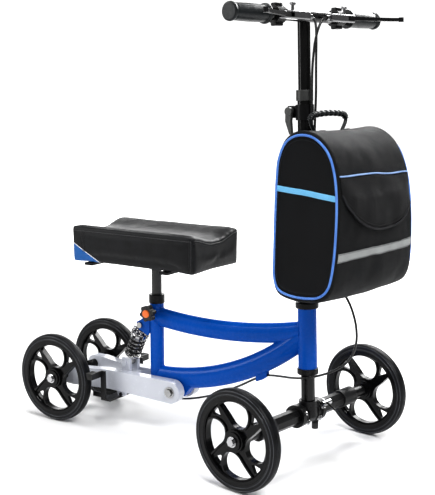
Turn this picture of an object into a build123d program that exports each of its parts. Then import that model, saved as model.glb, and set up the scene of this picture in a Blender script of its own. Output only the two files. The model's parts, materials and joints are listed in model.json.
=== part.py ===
"""Knee scooter with a sprung rear swingarm, a steered front axle, a folding stem and a storage bag.

Millimetres. X runs forward, Y to the left, Z up. Every shape is made with X measured from the rear axle and
moved at export, so that the origin is on the ground under the middle of the whole scooter.
The front end stands turned a little to the right, and that is the rest position.
"""
from build123d import *
from math import cos, pi, radians, sin, sqrt, tan
import os

# Driving dimensions
ORIGIN_X = 337.0  # from the rear axle forward to the origin
WHEEL_R = 100.0
REAR_TRACK = 186.0
FRONT_TRACK = 429.8
STEER = -8.48  # degrees from straight ahead, at rest
COLUMN_FOOT_X = 605.0  # from the rear axle, where the column axis meets the ground
COLUMN_LEAN = 1.68  # degrees, top backwards
AXLE_BEHIND_COLUMN = 5.4
BAR_H = 888.6  # handlebar axis, along the column from the ground
BAR_FORWARD = 9.7
BAR_HALF = 229.0
SEAT_X = 220.0
PAD_BOTTOM_Z = 373.5
SWING_X, SWING_Z = 281.7, 97.3
AXLE_Z = WHEEL_R
SHOCK_FOOT = (142.0, 137.0)
SHOCK_HEAD = (183.0, 230.0)
CABLE_R = 2.4
RUNNING = 0.05  # radial clearance of everything that turns or slides in a bore
APART = 0.5  # gap between faces of different bodies

SIDES = (-1, 1)  # right, left
column = Plane(
    origin=(COLUMN_FOOT_X, 0, 0),
    x_dir=(cos(radians(COLUMN_LEAN)), 0, sin(radians(COLUMN_LEAN))),
    z_dir=(-sin(radians(COLUMN_LEAN)), 0, cos(radians(COLUMN_LEAN))),
).location
steered = column * Rot(0, 0, STEER)
column_x_at_axle = COLUMN_FOOT_X - tan(radians(COLUMN_LEAN)) * AXLE_Z
axle_place = Location((column_x_at_axle, 0, 0), (0, 0, STEER))
nodes = {}


def keep(name, *shapes):
    """Store a node's solids, which are written to one file."""
    solids = []
    for shape in shapes:
        solids.extend(shape.solids())
    nodes[name] = solids


def biggest(shape):
    """The largest solid of a shape, without the chips a cut leaves behind."""
    return max(shape.solids(), key=lambda solid: solid.volume)


def rod(start, end, radius):
    """A solid cylinder between two points."""
    a, b = Vector(*start), Vector(*end)
    return Plane(origin=a, z_dir=b - a) * Cylinder(
        radius, (b - a).length, align=(Align.CENTER, Align.CENTER, Align.MIN)
    )


def across(x, z, y0, y1, radius):
    """A cylinder along Y."""
    return rod((x, y0, z), (x, y1, z), radius)


def upright(x, y, z0, z1, radius):
    """A cylinder along Z."""
    return rod((x, y, z0), (x, y, z1), radius)


def block(x0, x1, y0, y1, z0, z1, edge=0.0):
    """A box between two corners, with its edges rounded if asked."""
    lows, highs = (min(x0, x1), min(y0, y1), min(z0, z1)), (max(x0, x1), max(y0, y1), max(z0, z1))
    box = Pos(*lows) * Box(*[high - low for low, high in zip(lows, highs)], align=(Align.MIN,) * 3)
    return fillet(box.edges(), edge) if edge else box


def plate(outline, y0, y1, corner=0.0):
    """An outline in X and Z, given thickness between two sideways positions."""
    low, high = sorted((y0, y1))
    face = make_face(Plane.XZ * Polyline(*outline, close=True))
    if corner:
        face = fillet(face.vertices(), corner)
    return Pos(0, high, 0) * extrude(face, high - low, dir=(0, -1, 0))


def turned(profile, x, z, y=0.0):
    """A ring or disc about an axis along Y, from (radius, sideways) points."""
    face = make_face(Plane.XY * Polyline(*profile, close=True))
    return Pos(x, y, z) * revolve(face, Axis.Y)


# --- Wheels -------------------------------------------------------------------------------------------
TYRE_HALF = 12.0
TYRE_BED_R = 86.0
RIM_INNER_R = 75.5
WEB_HALF = 4.0
RIB_HALF = 7.0
RIB_W = 3.6
HUB_R, HUB_HALF = 18.0, 15.0
BOLT_R = 4.0
BOLT_HEAD_R = 8.0
GROOVES = (-6.0, -2.0, 2.0, 6.0)  # across the tread
GROOVE_HALF, GROOVE_DEEP = 0.5, 0.9


def make_tyre():
    """Solid tyre with rounded shoulders and four fine grooves round the tread."""
    tread = [(TYRE_BED_R, -TYRE_HALF + 1), (TYRE_BED_R, TYRE_HALF - 1)]
    with BuildPart() as tyre:
        with BuildSketch(Plane.XY) as section:
            with BuildLine():
                Line(tread[0], tread[1])
                Line(tread[1], (91, TYRE_HALF))
                ThreePointArc((91, TYRE_HALF), (96.6, 10.0), (99.2, 6.8))
                ThreePointArc((99.2, 6.8), (WHEEL_R, 0), (99.2, -6.8))
                ThreePointArc((99.2, -6.8), (96.6, -10.0), (91, -TYRE_HALF))
                Line((91, -TYRE_HALF), tread[0])
            make_face()
        revolve(axis=Axis.Y)
    ring = tyre.part
    for y in GROOVES:
        cutter = Pos(0, y, 0) * Rot(90, 0, 0) * (
            Cylinder(WHEEL_R + 2, 2 * GROOVE_HALF) - Cylinder(WHEEL_R - GROOVE_DEEP, 2 * GROOVE_HALF)
        )
        ring -= cutter
    return ring


def spoke_window():
    """One of the four swept windows between the spokes, as a face in X and Z."""
    rim_end, rim_mid, rim_low = (61.4, 39.6), (74.2, 7.8), (67.2, -25.8)
    hub_end, hub_side, waist = (28.0, -21.0), (25.4, -4.0), (33.5, 11.5)
    edge = [
        ThreePointArc(rim_end, rim_mid, rim_low),
        ThreePointArc(rim_low, (48.0, -31.4), hub_end),
        ThreePointArc(hub_end, hub_side, waist),
        ThreePointArc(waist, (45.5, 22.6), rim_end),
    ]
    return make_face([Plane.XZ * e for e in edge])


def spoke_triangle():
    """The small window where a spoke forks at the rim."""
    points = [(73.5 * cos(radians(a)), 73.5 * sin(radians(a))) for a in (39.5, 56.5)]
    points.append((51.0 * cos(radians(46.0)), 51.0 * sin(radians(46.0))))
    return fillet(make_face(Plane.XZ * Polyline(*points, close=True)).vertices(), 2.2)


def through(face, half):
    """A face in X and Z made a solid from -half to half along Y."""
    return Pos(0, half, 0) * extrude(face, 2 * half, dir=(0, -1, 0))


def make_rim():
    """Moulded rim: bed, stepped flanges, a thin web with a rib round each large window, and the hub."""
    bed_right = [(RIM_INNER_R, -9), (78, -11.5), (TYRE_BED_R, -11)]
    bed_left = [(TYRE_BED_R, 11), (78, 11.5), (RIM_INNER_R, 9)]
    bed = turned(bed_right + bed_left, 0, 0)
    web = across(0, 0, -WEB_HALF, WEB_HALF, RIM_INNER_R + 1)
    hub = across(0, 0, -HUB_HALF, HUB_HALF, HUB_R)
    hub_step = across(0, 0, -HUB_HALF + 3, HUB_HALF - 3, HUB_R + 4)
    rim = bed + web + hub_step + hub
    disc = across(0, 0, -RIB_HALF, RIB_HALF, RIM_INNER_R + 0.5)
    windows = [spoke_window(), spoke_triangle()]
    rib = through(offset(windows[0], RIB_W), RIB_HALF) & disc
    for quarter in range(4):
        rim += Rot(0, 90 * quarter, 0) * rib
    for quarter in range(4):
        for window in windows:
            rim -= Rot(0, 90 * quarter, 0) * through(window, RIB_HALF + 4)
    bearing = across(0, 0, HUB_HALF - 2, HUB_HALF + 1, 11.0)
    rim -= bearing + mirror(bearing, Plane.XZ)
    rim -= across(0, 0, -HUB_HALF - 1, HUB_HALF + 1, BOLT_R + RUNNING)
    return rim


def hub_bolt(side, wheel_y, seat_y):
    """The bolt that a wheel turns on, from inside the axle out to its head, with a washer each side."""
    outer = wheel_y + HUB_HALF
    bolt = across(0, 0, side * (seat_y - 14), side * (outer + 2), BOLT_R)
    head = Rot(-90 * side, 0, 0) * extrude(RegularPolygon(BOLT_HEAD_R, 6), 5.0)
    head = Pos(0, side * (outer + 1.9), 0) * head
    washer = across(0, 0, side * (outer + 0.4), side * (outer + 2), 10.5)
    spacer = across(0, 0, side * seat_y, side * (wheel_y - HUB_HALF - 0.4), 8.0)
    return bolt + head + washer + spacer


tyre, rim = make_tyre(), make_rim()
REAR_SEAT_Y = 76.0  # the axles' ends
FRONT_SEAT_Y = 197.5
rear_wheel = {s: Location((0, s * REAR_TRACK / 2, AXLE_Z)) for s in SIDES}
front_wheel = {s: axle_place * Location((-AXLE_BEHIND_COLUMN, s * FRONT_TRACK / 2, AXLE_Z)) for s in SIDES}
for s, word in zip(SIDES, ("right", "left")):
    keep(f"rear_{word}_tyre", rear_wheel[s] * tyre)
    keep(f"rear_{word}_rim", rear_wheel[s] * rim)
    keep(f"front_{word}_tyre", front_wheel[s] * tyre)
    keep(f"front_{word}_rim", front_wheel[s] * rim)
keep("rear_hub_bolts", *[Pos(0, 0, AXLE_Z) * hub_bolt(s, REAR_TRACK / 2, REAR_SEAT_Y) for s in SIDES])

# --- Front axle and its clamp, built straight ahead with X from the column --------------------------------
AXLE_R = 12.5
RIBBED_R = 15.5
COLLAR_R = 18.5
CLAMP_R = 21.0
CLAMP_HALF = 37.0
RIBBED_END, COLLAR_END = 116.0, 158.0
STEERER_R = 14.0
STEERER_FOOT = 112.0
AXLE_PIN_Y, PIN_R = 31.0, 4.0


def on_axle(shape):
    """Place a shape, made about the front axle line, on the turned front end."""
    return axle_place * Pos(-AXLE_BEHIND_COLUMN, 0, AXLE_Z) * shape


def octagon_tube(y0, y1, radius):
    """An eight-sided tube along Y."""
    face = Plane((0, y1, 0), x_dir=(1, 0, 0), z_dir=(0, -1, 0)) * Rot(0, 0, 22.5) * RegularPolygon(radius, 8)
    return extrude(face, y1 - y0, dir=(0, -1, 0))


thin_axle = across(0, 0, -FRONT_SEAT_Y, FRONT_SEAT_Y, AXLE_R)
bolt_holes = across(0, 0, -FRONT_SEAT_Y - 1, -FRONT_SEAT_Y + 16, BOLT_R)
bolt_holes += mirror(bolt_holes, Plane.XZ)
ribbed = octagon_tube(-RIBBED_END, RIBBED_END, RIBBED_R + 1.0)
axle_core = thin_axle + ribbed
keep("front_axle", on_axle(axle_core - bolt_holes))
keep(
    "front_axle_collars",
    *[
        on_axle(across(0, 0, s * (RIBBED_END - 2), s * COLLAR_END, COLLAR_R) - axle_core)
        for s in SIDES
    ],
)
keep("front_hub_bolts", *[on_axle(hub_bolt(s, FRONT_TRACK / 2, FRONT_SEAT_Y)) for s in SIDES])

SOCKET_TOP = 128.0
steerer_space = steered * upright(0, 0, STEERER_FOOT, 400, STEERER_R)
pin_bore = upright(0, AXLE_PIN_Y, -40, -10, PIN_R + RUNNING)
pinch_bolts = [across(-24, z, -26, 24, 3.2) + across(-24, z, -30, -24, 5.5) for z in (-4.6, 4.6)]
pinch_bolts.append(across(19, 14, 30, 56, 5.5))
axle_clamp = across(0, 0, -CLAMP_HALF, CLAMP_HALF, CLAMP_R)
for s in SIDES:
    axle_clamp += across(0, 0, s * (CLAMP_HALF - 9), s * (CLAMP_HALF + 1), CLAMP_R + 2.5)
axle_clamp += block(-30, -12, -20, 20, -9, 9, 3)
axle_clamp += upright(0, AXLE_PIN_Y, -27, -17.5, 7.5)
axle_clamp -= axle_core + pin_bore
for bolt in pinch_bolts:
    axle_clamp -= bolt
socket = steered * upright(0, 0, AXLE_Z - 5, SOCKET_TOP, STEERER_R + 5) - on_axle(axle_core)
keep("front_axle_clamp", on_axle(axle_clamp) + socket - steerer_space)
keep("axle_clamp_bolts", *[on_axle(bolt) for bolt in pinch_bolts])
pin_shank = upright(0, AXLE_PIN_Y, -34, -18.2, PIN_R)
pin_grip = upright(0, AXLE_PIN_Y, -42, -28.2, 7.0)
keep("axle_release_pin", on_axle(pin_shank + fillet(pin_grip.edges(), 1.5)))

# --- Head tube, steerer and headset ----------------------------------------------------------------------
HEAD_R, HEAD_WALL = 19.0, 2.5
HEAD_FOOT, HEAD_TOP = 195.0, 319.0
head_space = column * upright(0, 0, HEAD_FOOT - 14, HEAD_TOP + 14, HEAD_R)
head_tube = upright(0, 0, HEAD_FOOT, HEAD_TOP, HEAD_R) - upright(0, 0, 0, 400, HEAD_R - HEAD_WALL)
keep("head_tube", column * head_tube)


def headset_cup(face_h, away, radius, thick):
    """A cup on one end of the head tube, with a lip that overhangs it."""
    cup = rod((0, 0, face_h), (0, 0, face_h + away * thick), radius)
    cup = fillet(cup.edges(), 1.5)
    cup += rod((0, 0, face_h), (0, 0, face_h - away * 8), HEAD_R - HEAD_WALL)
    return column * (cup - upright(0, 0, 0, 400, STEERER_R + RUNNING))


keep("headset_cups", headset_cup(HEAD_FOOT, -1, 21.5, 12), headset_cup(HEAD_TOP, 1, 23.5, 12))
STEERER_TOP = 345.0
steerer = upright(0, 0, STEERER_FOOT, STEERER_TOP, STEERER_R) - upright(0, 0, 140, STEERER_TOP, 11.5)
keep("steerer_tube", steered * steerer - on_axle(axle_core))

# --- Frame tubes -----------------------------------------------------------------------------------------
SEAT_TUBE_R, SEAT_TUBE_BORE = 15.5, 13.5
SEAT_TUBE_FOOT, SEAT_TUBE_TOP = 100.0, 283.0
FRAME_WALL = 2.2
UPPER_TALL, LOWER_TALL, FRAME_WIDE = 42.0, 46.5, 31.0
TUBE_START_X = SEAT_X + 4.0  # past the seat tube's widest point, so that the two don't only graze
upper_line = ThreePointArc((TUBE_START_X, 253.2), (400, 244.6), (597, 271.0))
lower_line = ThreePointArc((TUBE_START_X, 117.8), (420, 156.0), (597, 266.0))


def frame_sweep(line, tall, wall=0.0):
    """An oval tube swept along an arc in the middle plane."""
    arc = Plane.XZ * line
    start = Plane(origin=arc @ 0, z_dir=arc % 0, x_dir=(0, 1, 0))
    return sweep(start * Ellipse(FRAME_WIDE / 2 - wall, tall / 2 - wall), path=arc)


KNOB_Z = 265.0
seat_space = upright(SEAT_X, 0, 60, 400, SEAT_TUBE_R)
upper_solid = frame_sweep(upper_line, UPPER_TALL)
lower_solid = frame_sweep(lower_line, LOWER_TALL)
PIVOT_SHELL_R, PIVOT_BOLT_R = 16.0, 6.0
shell = across(SWING_X, SWING_Z, -17.5, 17.5, PIVOT_SHELL_R)
fitted_round = head_space + seat_space
upper_tube = upper_solid - frame_sweep(upper_line, UPPER_TALL, FRAME_WALL) - fitted_round
lower_tube = lower_solid - frame_sweep(lower_line, LOWER_TALL, FRAME_WALL) - fitted_round
lower_tube = lower_tube - upper_solid - shell
keep("upper_frame_tube", biggest(upper_tube))
keep("lower_frame_tube", biggest(lower_tube))

lug_outline = [(206, 258), (206, 208), (182, 219), (173, 226), (173, 236), (184, 242)]
seat_tube = upright(SEAT_X, 0, SEAT_TUBE_FOOT, SEAT_TUBE_TOP, SEAT_TUBE_R)
for s in SIDES:
    seat_tube += plate(lug_outline, s * 9.6, s * 13.6, corner=2.5)
seat_tube += block(203, 209, -13.6, 13.6, 214, 250)
seat_tube += across(SEAT_X, KNOB_Z, -21.0, -10.0, 7.9)
seat_tube -= upright(SEAT_X, 0, 60, 400, SEAT_TUBE_BORE)
seat_tube -= across(SEAT_X, KNOB_Z, -30, -10, 4.0 + RUNNING)
seat_tube -= across(*SHOCK_HEAD, -20, 20, 4.0)
keep("seat_tube", seat_tube)

POST_R = 11.2
COLLAR_TOP = 303.0
collar = fillet(upright(SEAT_X, 0, SEAT_TUBE_TOP, COLLAR_TOP, 17.5).edges(), 1.5)
collar += upright(SEAT_X, 0, 276, SEAT_TUBE_TOP + 1, SEAT_TUBE_BORE - 0.02)
keep("seat_tube_collar", collar - upright(SEAT_X, 0, 200, 400, POST_R + RUNNING))

gusset = plate([(256, 106), (300, 112), (318, 108), (300, 84), (286, 80), (272, 82)], -12, 12, corner=3)
shell += gusset - lower_solid
keep("pivot_shell", biggest(shell - across(SWING_X, SWING_Z, -30, 30, PIVOT_BOLT_R)))
ARM_OUT = 40.0
swing_bolt = across(SWING_X, SWING_Z, -ARM_OUT - 2, ARM_OUT + 2, PIVOT_BOLT_R)
shock_bolt = across(*SHOCK_HEAD, -14.5, 14.5, 4.0 - RUNNING)
for s in SIDES:
    swing_bolt += across(SWING_X, SWING_Z, s * (ARM_OUT + APART), s * (ARM_OUT + 2), 12.5)
    head = extrude(RegularPolygon(8.5, 6), 4.5)
    swing_bolt += Pos(SWING_X, s * (ARM_OUT + 1.9), SWING_Z) * Rot(-90 * s, 0, 0) * head
    shock_bolt += across(*SHOCK_HEAD, s * 13.7, s * 18, 6.5)
keep("pivot_bolts", swing_bolt, shock_bolt)

# --- Seat ------------------------------------------------------------------------------------------------
PAD_X0, PAD_X1, PAD_HALF_Y = 54.0, 377.0, 88.0
PAD_EDGE_Z, PAD_FLAT_Z = 449.0, 438.0
keep("seat_post", upright(SEAT_X, 0, 165, 369, POST_R) - upright(SEAT_X, 0, 160, 362, POST_R - 1.8))
seat_plate = block(SEAT_X - 70, SEAT_X + 70, -40, 40, 369, PAD_BOTTOM_Z - 0.5)
seat_plate += upright(SEAT_X, 0, 360, 370, 16.5)
for x in (96.0, 300.0):
    seat_plate += block(x - 11, x + 11, -84, 84, 367, PAD_BOTTOM_Z - 0.5, 1.0)
    seat_plate += block(min(x, SEAT_X), max(x, SEAT_X), -12, 12, 367, 371)
keep("seat_plate", seat_plate - upright(SEAT_X, 0, 300, 369, POST_R))
pad_section = [
    (-PAD_HALF_Y, PAD_BOTTOM_Z), (PAD_HALF_Y, PAD_BOTTOM_Z), (PAD_HALF_Y - 3, PAD_EDGE_Z),
    (PAD_HALF_Y - 20, PAD_EDGE_Z), (45, PAD_FLAT_Z), (-45, PAD_FLAT_Z),
    (-PAD_HALF_Y + 20, PAD_EDGE_Z), (-PAD_HALF_Y + 3, PAD_EDGE_Z),
]
pad_face = make_face(Plane.YZ * Polyline(*pad_section, close=True))
keep("knee_pad", Pos(PAD_X0, 0, 0) * extrude(pad_face, PAD_X1 - PAD_X0, dir=(1, 0, 0)))

KNOB_R = 17.0
knob = across(SEAT_X, KNOB_Z, -40, -26, KNOB_R - 3)
LOBES, LOBE_R, LOBE_AT = 6, 5.2, 13.5
for lobe in range(LOBES):
    angle = radians(360 / LOBES * lobe + 15)
    lobe_x, lobe_z = SEAT_X + LOBE_AT * cos(angle), KNOB_Z + LOBE_AT * sin(angle)
    knob += across(lobe_x, lobe_z, -39, -26.5, LOBE_R)
knob += across(SEAT_X, KNOB_Z, -26.5, -21.6, 8.5) + across(SEAT_X, KNOB_Z, -22, -14.2, 4.0)
knob_cap = across(SEAT_X, KNOB_Z, -43, -37, 8.6)
keep("seat_knob", knob - knob_cap)
keep("seat_knob_cap", fillet(knob_cap.edges().group_by(Axis.Y)[0], 1.2))

# --- Swingarm --------------------------------------------------------------------------------------------
ARM_THICK = 21.0
ARM_TALL_R, ARM_REAR_R = 25.0, 20.0  # half its height at the pivot and at the rear axle
ARM_BEND_X = 108.0
ARM_END_OUT = 63.0
REAR_AXLE_R = 11.0
arm_low = [(0, AXLE_Z - ARM_REAR_R), (SWING_X, SWING_Z - ARM_TALL_R)]
arm_high = [(SWING_X, SWING_Z + ARM_TALL_R), (0, AXLE_Z + ARM_REAR_R)]
arm_side = plate(arm_low + arm_high, -90, 90)
arm_side += across(0, AXLE_Z, -90, 90, ARM_REAR_R) + across(SWING_X, SWING_Z, -90, 90, ARM_TALL_R)
YOKE_X, YOKE_Z = 142.0, 68.0
YOKE_PIN_R = 4.0
FOOT_BOLT_R = 3.0


def make_arm(side):
    """One swingarm: a flat beam that steps outwards to the wheel behind its bend."""
    inner = ARM_OUT - ARM_THICK
    plan = [
        (SWING_X + 40, inner), (SWING_X + 40, ARM_OUT), (ARM_BEND_X, ARM_OUT), (24, ARM_END_OUT),
        (-40, ARM_END_OUT), (-40, ARM_END_OUT - ARM_THICK), (20, ARM_END_OUT - ARM_THICK),
        (ARM_BEND_X - 6, inner),
    ]
    face = make_face(Plane.XY * Polyline(*[(x, side * y) for x, y in plan], close=True))
    arm = arm_side & extrude(face, 300, dir=(0, 0, 1))
    lug = [(YOKE_X - 9, 64), (YOKE_X + 9, 64), (YOKE_X + 16, 84), (YOKE_X - 16, 84)]
    arm += plate(lug, side * 26, side * 34, corner=2)
    arm -= across(0, AXLE_Z, -90, 90, REAR_AXLE_R)
    arm -= across(SWING_X, SWING_Z, -90, 90, PIVOT_BOLT_R + RUNNING)
    return arm - across(YOKE_X, YOKE_Z, -60, 60, YOKE_PIN_R + RUNNING)


for s, word in zip(SIDES, ("right", "left")):
    keep(f"swingarm_{word}", make_arm(s))
INNER = ARM_OUT - ARM_THICK
bridge = block(122, 166, -INNER, INNER, 82, 116)
bridge += block(132, 156, 10.5, INNER, 112, 150, 2) + block(132, 156, -INNER, -10.5, 112, 150, 2)
bridge += across(*SHOCK_FOOT, -22, 22, FOOT_BOLT_R)
for s in SIDES:
    bridge += across(*SHOCK_FOOT, s * (INNER - 0.5), s * (INNER + 4), 6.5)
bridge += block(160, 172, -7, 7, 62, 90)
keep("swingarm_bridge", bridge - rod((155, 0, 69.5), (175, 0, 70.0), CABLE_R + 0.3))
rear_axle = across(0, AXLE_Z, -REAR_SEAT_Y, REAR_SEAT_Y, REAR_AXLE_R)
for s in SIDES:
    rear_axle -= across(0, AXLE_Z, s * (REAR_SEAT_Y - 15), s * (REAR_SEAT_Y + 1), BOLT_R)
keep("rear_axle", rear_axle)

# --- Rear brake yoke -------------------------------------------------------------------------------------
FLANGE_Y0, FLANGE_Y1 = 66.5, 70.0
SHOE_IN, SHOE_OUT = 82.0, 104.0
SHOE_Z0, SHOE_Z1 = 113.0, 127.0
LEG_X0, LEG_X1 = 113.0, 126.0
yoke = block(LEG_X0, YOKE_X - 3, -FLANGE_Y1, FLANGE_Y1, 59, 62.5)
yoke += across(YOKE_X, YOKE_Z, -37, 37, YOKE_PIN_R)
yoke += block(YOKE_X - 7, YOKE_X - 2, -23, 23, 59, 70)
for s in SIDES:
    yoke += block(LEG_X0, LEG_X1, s * FLANGE_Y0, s * FLANGE_Y1, 59, SHOE_Z1)
    yoke += block(90, LEG_X1, s * FLANGE_Y0, s * FLANGE_Y1, 65, 76)
    yoke += block(LEG_X0, LEG_X0 + 3.5, s * FLANGE_Y0, s * SHOE_OUT, SHOE_Z0, SHOE_Z1)
    yoke -= across(YOKE_X, YOKE_Z, s * 25, s * 36, 9) - across(YOKE_X, YOKE_Z, -60, 60, YOKE_PIN_R)
keep("brake_yoke", yoke)
SHOE_GAP = 2.6
shoe_hollow = across(0, AXLE_Z, -150, 150, WHEEL_R + SHOE_GAP)
keep("brake_shoes", *[block(97, LEG_X0, s * SHOE_IN, s * SHOE_OUT, SHOE_Z0, SHOE_Z1) - shoe_hollow for s in SIDES])

# --- Shock -----------------------------------------------------------------------------------------------
shock_length = sqrt(sum((a - b) ** 2 for a, b in zip(SHOCK_FOOT, SHOCK_HEAD)))
shock = Plane(
    origin=(SHOCK_HEAD[0], 0, SHOCK_HEAD[1]),
    x_dir=(0, 1, 0),
    z_dir=(SHOCK_FOOT[0] - SHOCK_HEAD[0], 0, SHOCK_FOOT[1] - SHOCK_HEAD[1]),
).location
PERCH_AT, SPRING_FROM, SPRING_TO, BODY_END = 20.0, 26.0, 79.0, 62.0
ROD_R, SPRING_R, WIRE_R = 4.5, 16.2, 2.3


def along(d0, d1, radius):
    """A cylinder on the shock's axis, between two distances from its upper eye."""
    return upright(0, 0, d0, d1, radius)


eye = rod((-9, 0, 0), (9, 0, 0), 9.5)
body = eye + along(6, BODY_END, 9.0) + fillet(along(PERCH_AT, SPRING_FROM, 19.0).edges(), 1.5)
body += along(SPRING_FROM - 1, SPRING_FROM + 5, 12.5)
body -= along(26, BODY_END + 1, ROD_R + RUNNING)
body -= rod((-12, 0, 0), (12, 0, 0), 4.0)
keep("shock_body", shock * body)
foot_eye = rod((-9, 0, shock_length), (9, 0, shock_length), 8.5)
foot = foot_eye + along(40, shock_length - 5, ROD_R)
foot += fillet(along(SPRING_TO, SPRING_TO + 5, 19.0).edges(), 1.5)
foot += along(SPRING_TO + 4, shock_length - 4, 8.0)
foot -= rod((-12, 0, shock_length), (12, 0, shock_length), FOOT_BOLT_R + 1.6)
keep("shock_rod", shock * foot)
SPRING_TURNS = 5.0
spring_run = SPRING_TO - SPRING_FROM - 2 * WIRE_R - 0.6
helix = Helix(spring_run / SPRING_TURNS, spring_run, SPRING_R)
wire = sweep(Plane(origin=helix @ 0, z_dir=helix % 0) * Circle(WIRE_R), path=helix, is_frenet=True)
keep("shock_spring", shock * Pos(0, 0, SPRING_FROM + WIRE_R + 0.3) * wire)

# --- Folding joint, in the steered column's own frame: X forward of its axis, Z along it -------------------
FOLD_F, FOLD_H = -12.0, 361.0
EAR_IN, EAR_OUT = 12.0, 18.0
KNUCKLE_HALF = EAR_IN - APART
KNUCKLE_TOP = 386.0
fold_yoke = upright(0, 0, 333.5, 342, 21.5)
ear_outline = [(-24, 336), (19, 336), (19, 366), (12, 376), (-20, 376), (-25, 368)]
for s in SIDES:
    fold_yoke += plate(ear_outline, s * EAR_IN, s * EAR_OUT, corner=3)
fold_yoke -= upright(0, 0, 300, STEERER_TOP, STEERER_R)
fold_yoke -= across(FOLD_F, FOLD_H, -30, 30, 4.0 + RUNNING)
LATCH_F, LATCH_H = 11.0, 351.0
fold_yoke -= across(LATCH_F, LATCH_H, -30, 30, 3.0 + RUNNING)
CLIP_FROM, CLIP_TO = (30.0, 12.0, 364.0), (48.0, 26.0, 355.0)  # the straight run that the clip holds
CLIP_AT = 0.6  # share of that run


def on_run(share):
    """A point part of the way along the clip's straight run."""
    return tuple(a + share * (b - a) for a, b in zip(CLIP_FROM, CLIP_TO))


fold_yoke += rod((16, 8, 338), on_run(CLIP_AT), 2.6)
fold_yoke += rod(on_run(CLIP_AT - 0.15), on_run(CLIP_AT + 0.15), 5.6)
fold_yoke -= rod(on_run(CLIP_AT - 0.3), on_run(CLIP_AT + 0.3), CABLE_R + 0.4)
keep("fold_yoke", steered * fold_yoke)
knuckle = across(FOLD_F, FOLD_H, -KNUCKLE_HALF, KNUCKLE_HALF, 13.0)
knuckle += block(FOLD_F, 17, -KNUCKLE_HALF, KNUCKLE_HALF, FOLD_H, KNUCKLE_TOP)
knuckle += upright(0, 0, 378, 402, 17.0)
knuckle += across(FOLD_F, FOLD_H, -EAR_OUT - 1, EAR_OUT + 1, 4.0)
for s in SIDES:
    knuckle += across(FOLD_F, FOLD_H, s * (EAR_OUT + APART), s * (EAR_OUT + 2), 7.0)
STEM_R, STEM_BORE, INNER_R = 14.5, 13.0, 12.5
STEM_TOP = 729.0
knuckle -= upright(0, 0, 388, 420, STEM_R)
keep("fold_knuckle", steered * knuckle)
latch = across(LATCH_F, LATCH_H, -26, 22, 3.0) + across(LATCH_F, LATCH_H, EAR_OUT + 0.4, 24, 6.5)
latch += across(LATCH_F, LATCH_H, -28, -EAR_OUT - 0.4, 7.0)
latch += block(LATCH_F - 40, LATCH_F, -27, -20.5, LATCH_H - 4, LATCH_H + 5, 1.5)
keep("fold_latch_lever", steered * latch)

# --- Stem ------------------------------------------------------------------------------------------------
stem_outer = upright(0, 0, 388, STEM_TOP, STEM_R) - upright(0, 0, 380, STEM_TOP, STEM_BORE)
keep("stem_outer_tube", steered * stem_outer)
stem_collar = fillet(upright(0, 0, STEM_TOP, 750, 16.8).edges(), 1.0)
stem_collar += upright(0, 0, 712, STEM_TOP + 1, STEM_BORE - 0.02)
keep("stem_collar", steered * (stem_collar - upright(0, 0, 700, 760, INNER_R + RUNNING)))
CLAMP_LOW, CLAMP_HIGH = 692.0, 722.0
LEVER_F, LEVER_H = -27.0, 709.0
height_clamp = upright(0, 0, CLAMP_LOW, CLAMP_HIGH, 18.0)
height_clamp += block(-36, -10, -9, 9, CLAMP_LOW + 4, CLAMP_HIGH - 2, 2)
height_clamp -= upright(0, 0, 680, 740, STEM_R)
height_clamp -= block(-40, -12, -1.2, 1.2, 680, 740)
height_clamp -= across(LEVER_F, LEVER_H, -30, 30, 3.0 + RUNNING)
keep("height_clamp", steered * height_clamp)
lever = across(LEVER_F, LEVER_H, -18, 14, 3.0) + across(LEVER_F, LEVER_H, 9.4, 15, 6.5)
lever += across(LEVER_F, LEVER_H, -19, -9.4, 8.5)
lever += plate([(-34, 712), (-35, 690), (-25, 664), (-20, 664), (-22, 690), (-20, 705)], -18, -11, corner=2)
keep("height_clamp_lever", steered * lever)

# --- Handlebar -------------------------------------------------------------------------------------------
BAR_R = 11.0
bar_space = across(BAR_FORWARD, BAR_H, -300, 300, BAR_R)
stem_inner = upright(0, 0, 560, 884, INNER_R) - upright(0, 0, 550, 870, INNER_R - 1.6)
keep("stem_inner_tube", steered * (stem_inner - bar_space))
bar = across(BAR_FORWARD, BAR_H, -BAR_HALF + 4, BAR_HALF - 4, BAR_R)
keep("handlebar", steered * (bar - across(BAR_FORWARD, BAR_H, -BAR_HALF, BAR_HALF, BAR_R - 1.8)))
GRIP_IN = 128.0
grip_profile = [
    (BAR_R, GRIP_IN), (18.5, GRIP_IN), (19.0, GRIP_IN + 2), (18.5, GRIP_IN + 4.5), (15.8, GRIP_IN + 7),
    (16.2, 150), (16.6, 175), (16.2, 200), (15.6, 216), (15.0, 218.5), (15.0, 221), (17.0, 223), (17.6, 226),
    (17.0, 228.5), (14.0, BAR_HALF), (0, BAR_HALF), (0, BAR_HALF - 3.8), (BAR_R, BAR_HALF - 3.8),
]


def sided(shape, side):
    """A left-hand shape as it is, or mirrored for the right."""
    return shape if side > 0 else mirror(shape, Plane.XZ)


def on_bar(shape, side):
    """Place a left-hand shape made about the bar's axis."""
    return steered * sided(Pos(BAR_FORWARD, 0, BAR_H) * shape, side)


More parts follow.
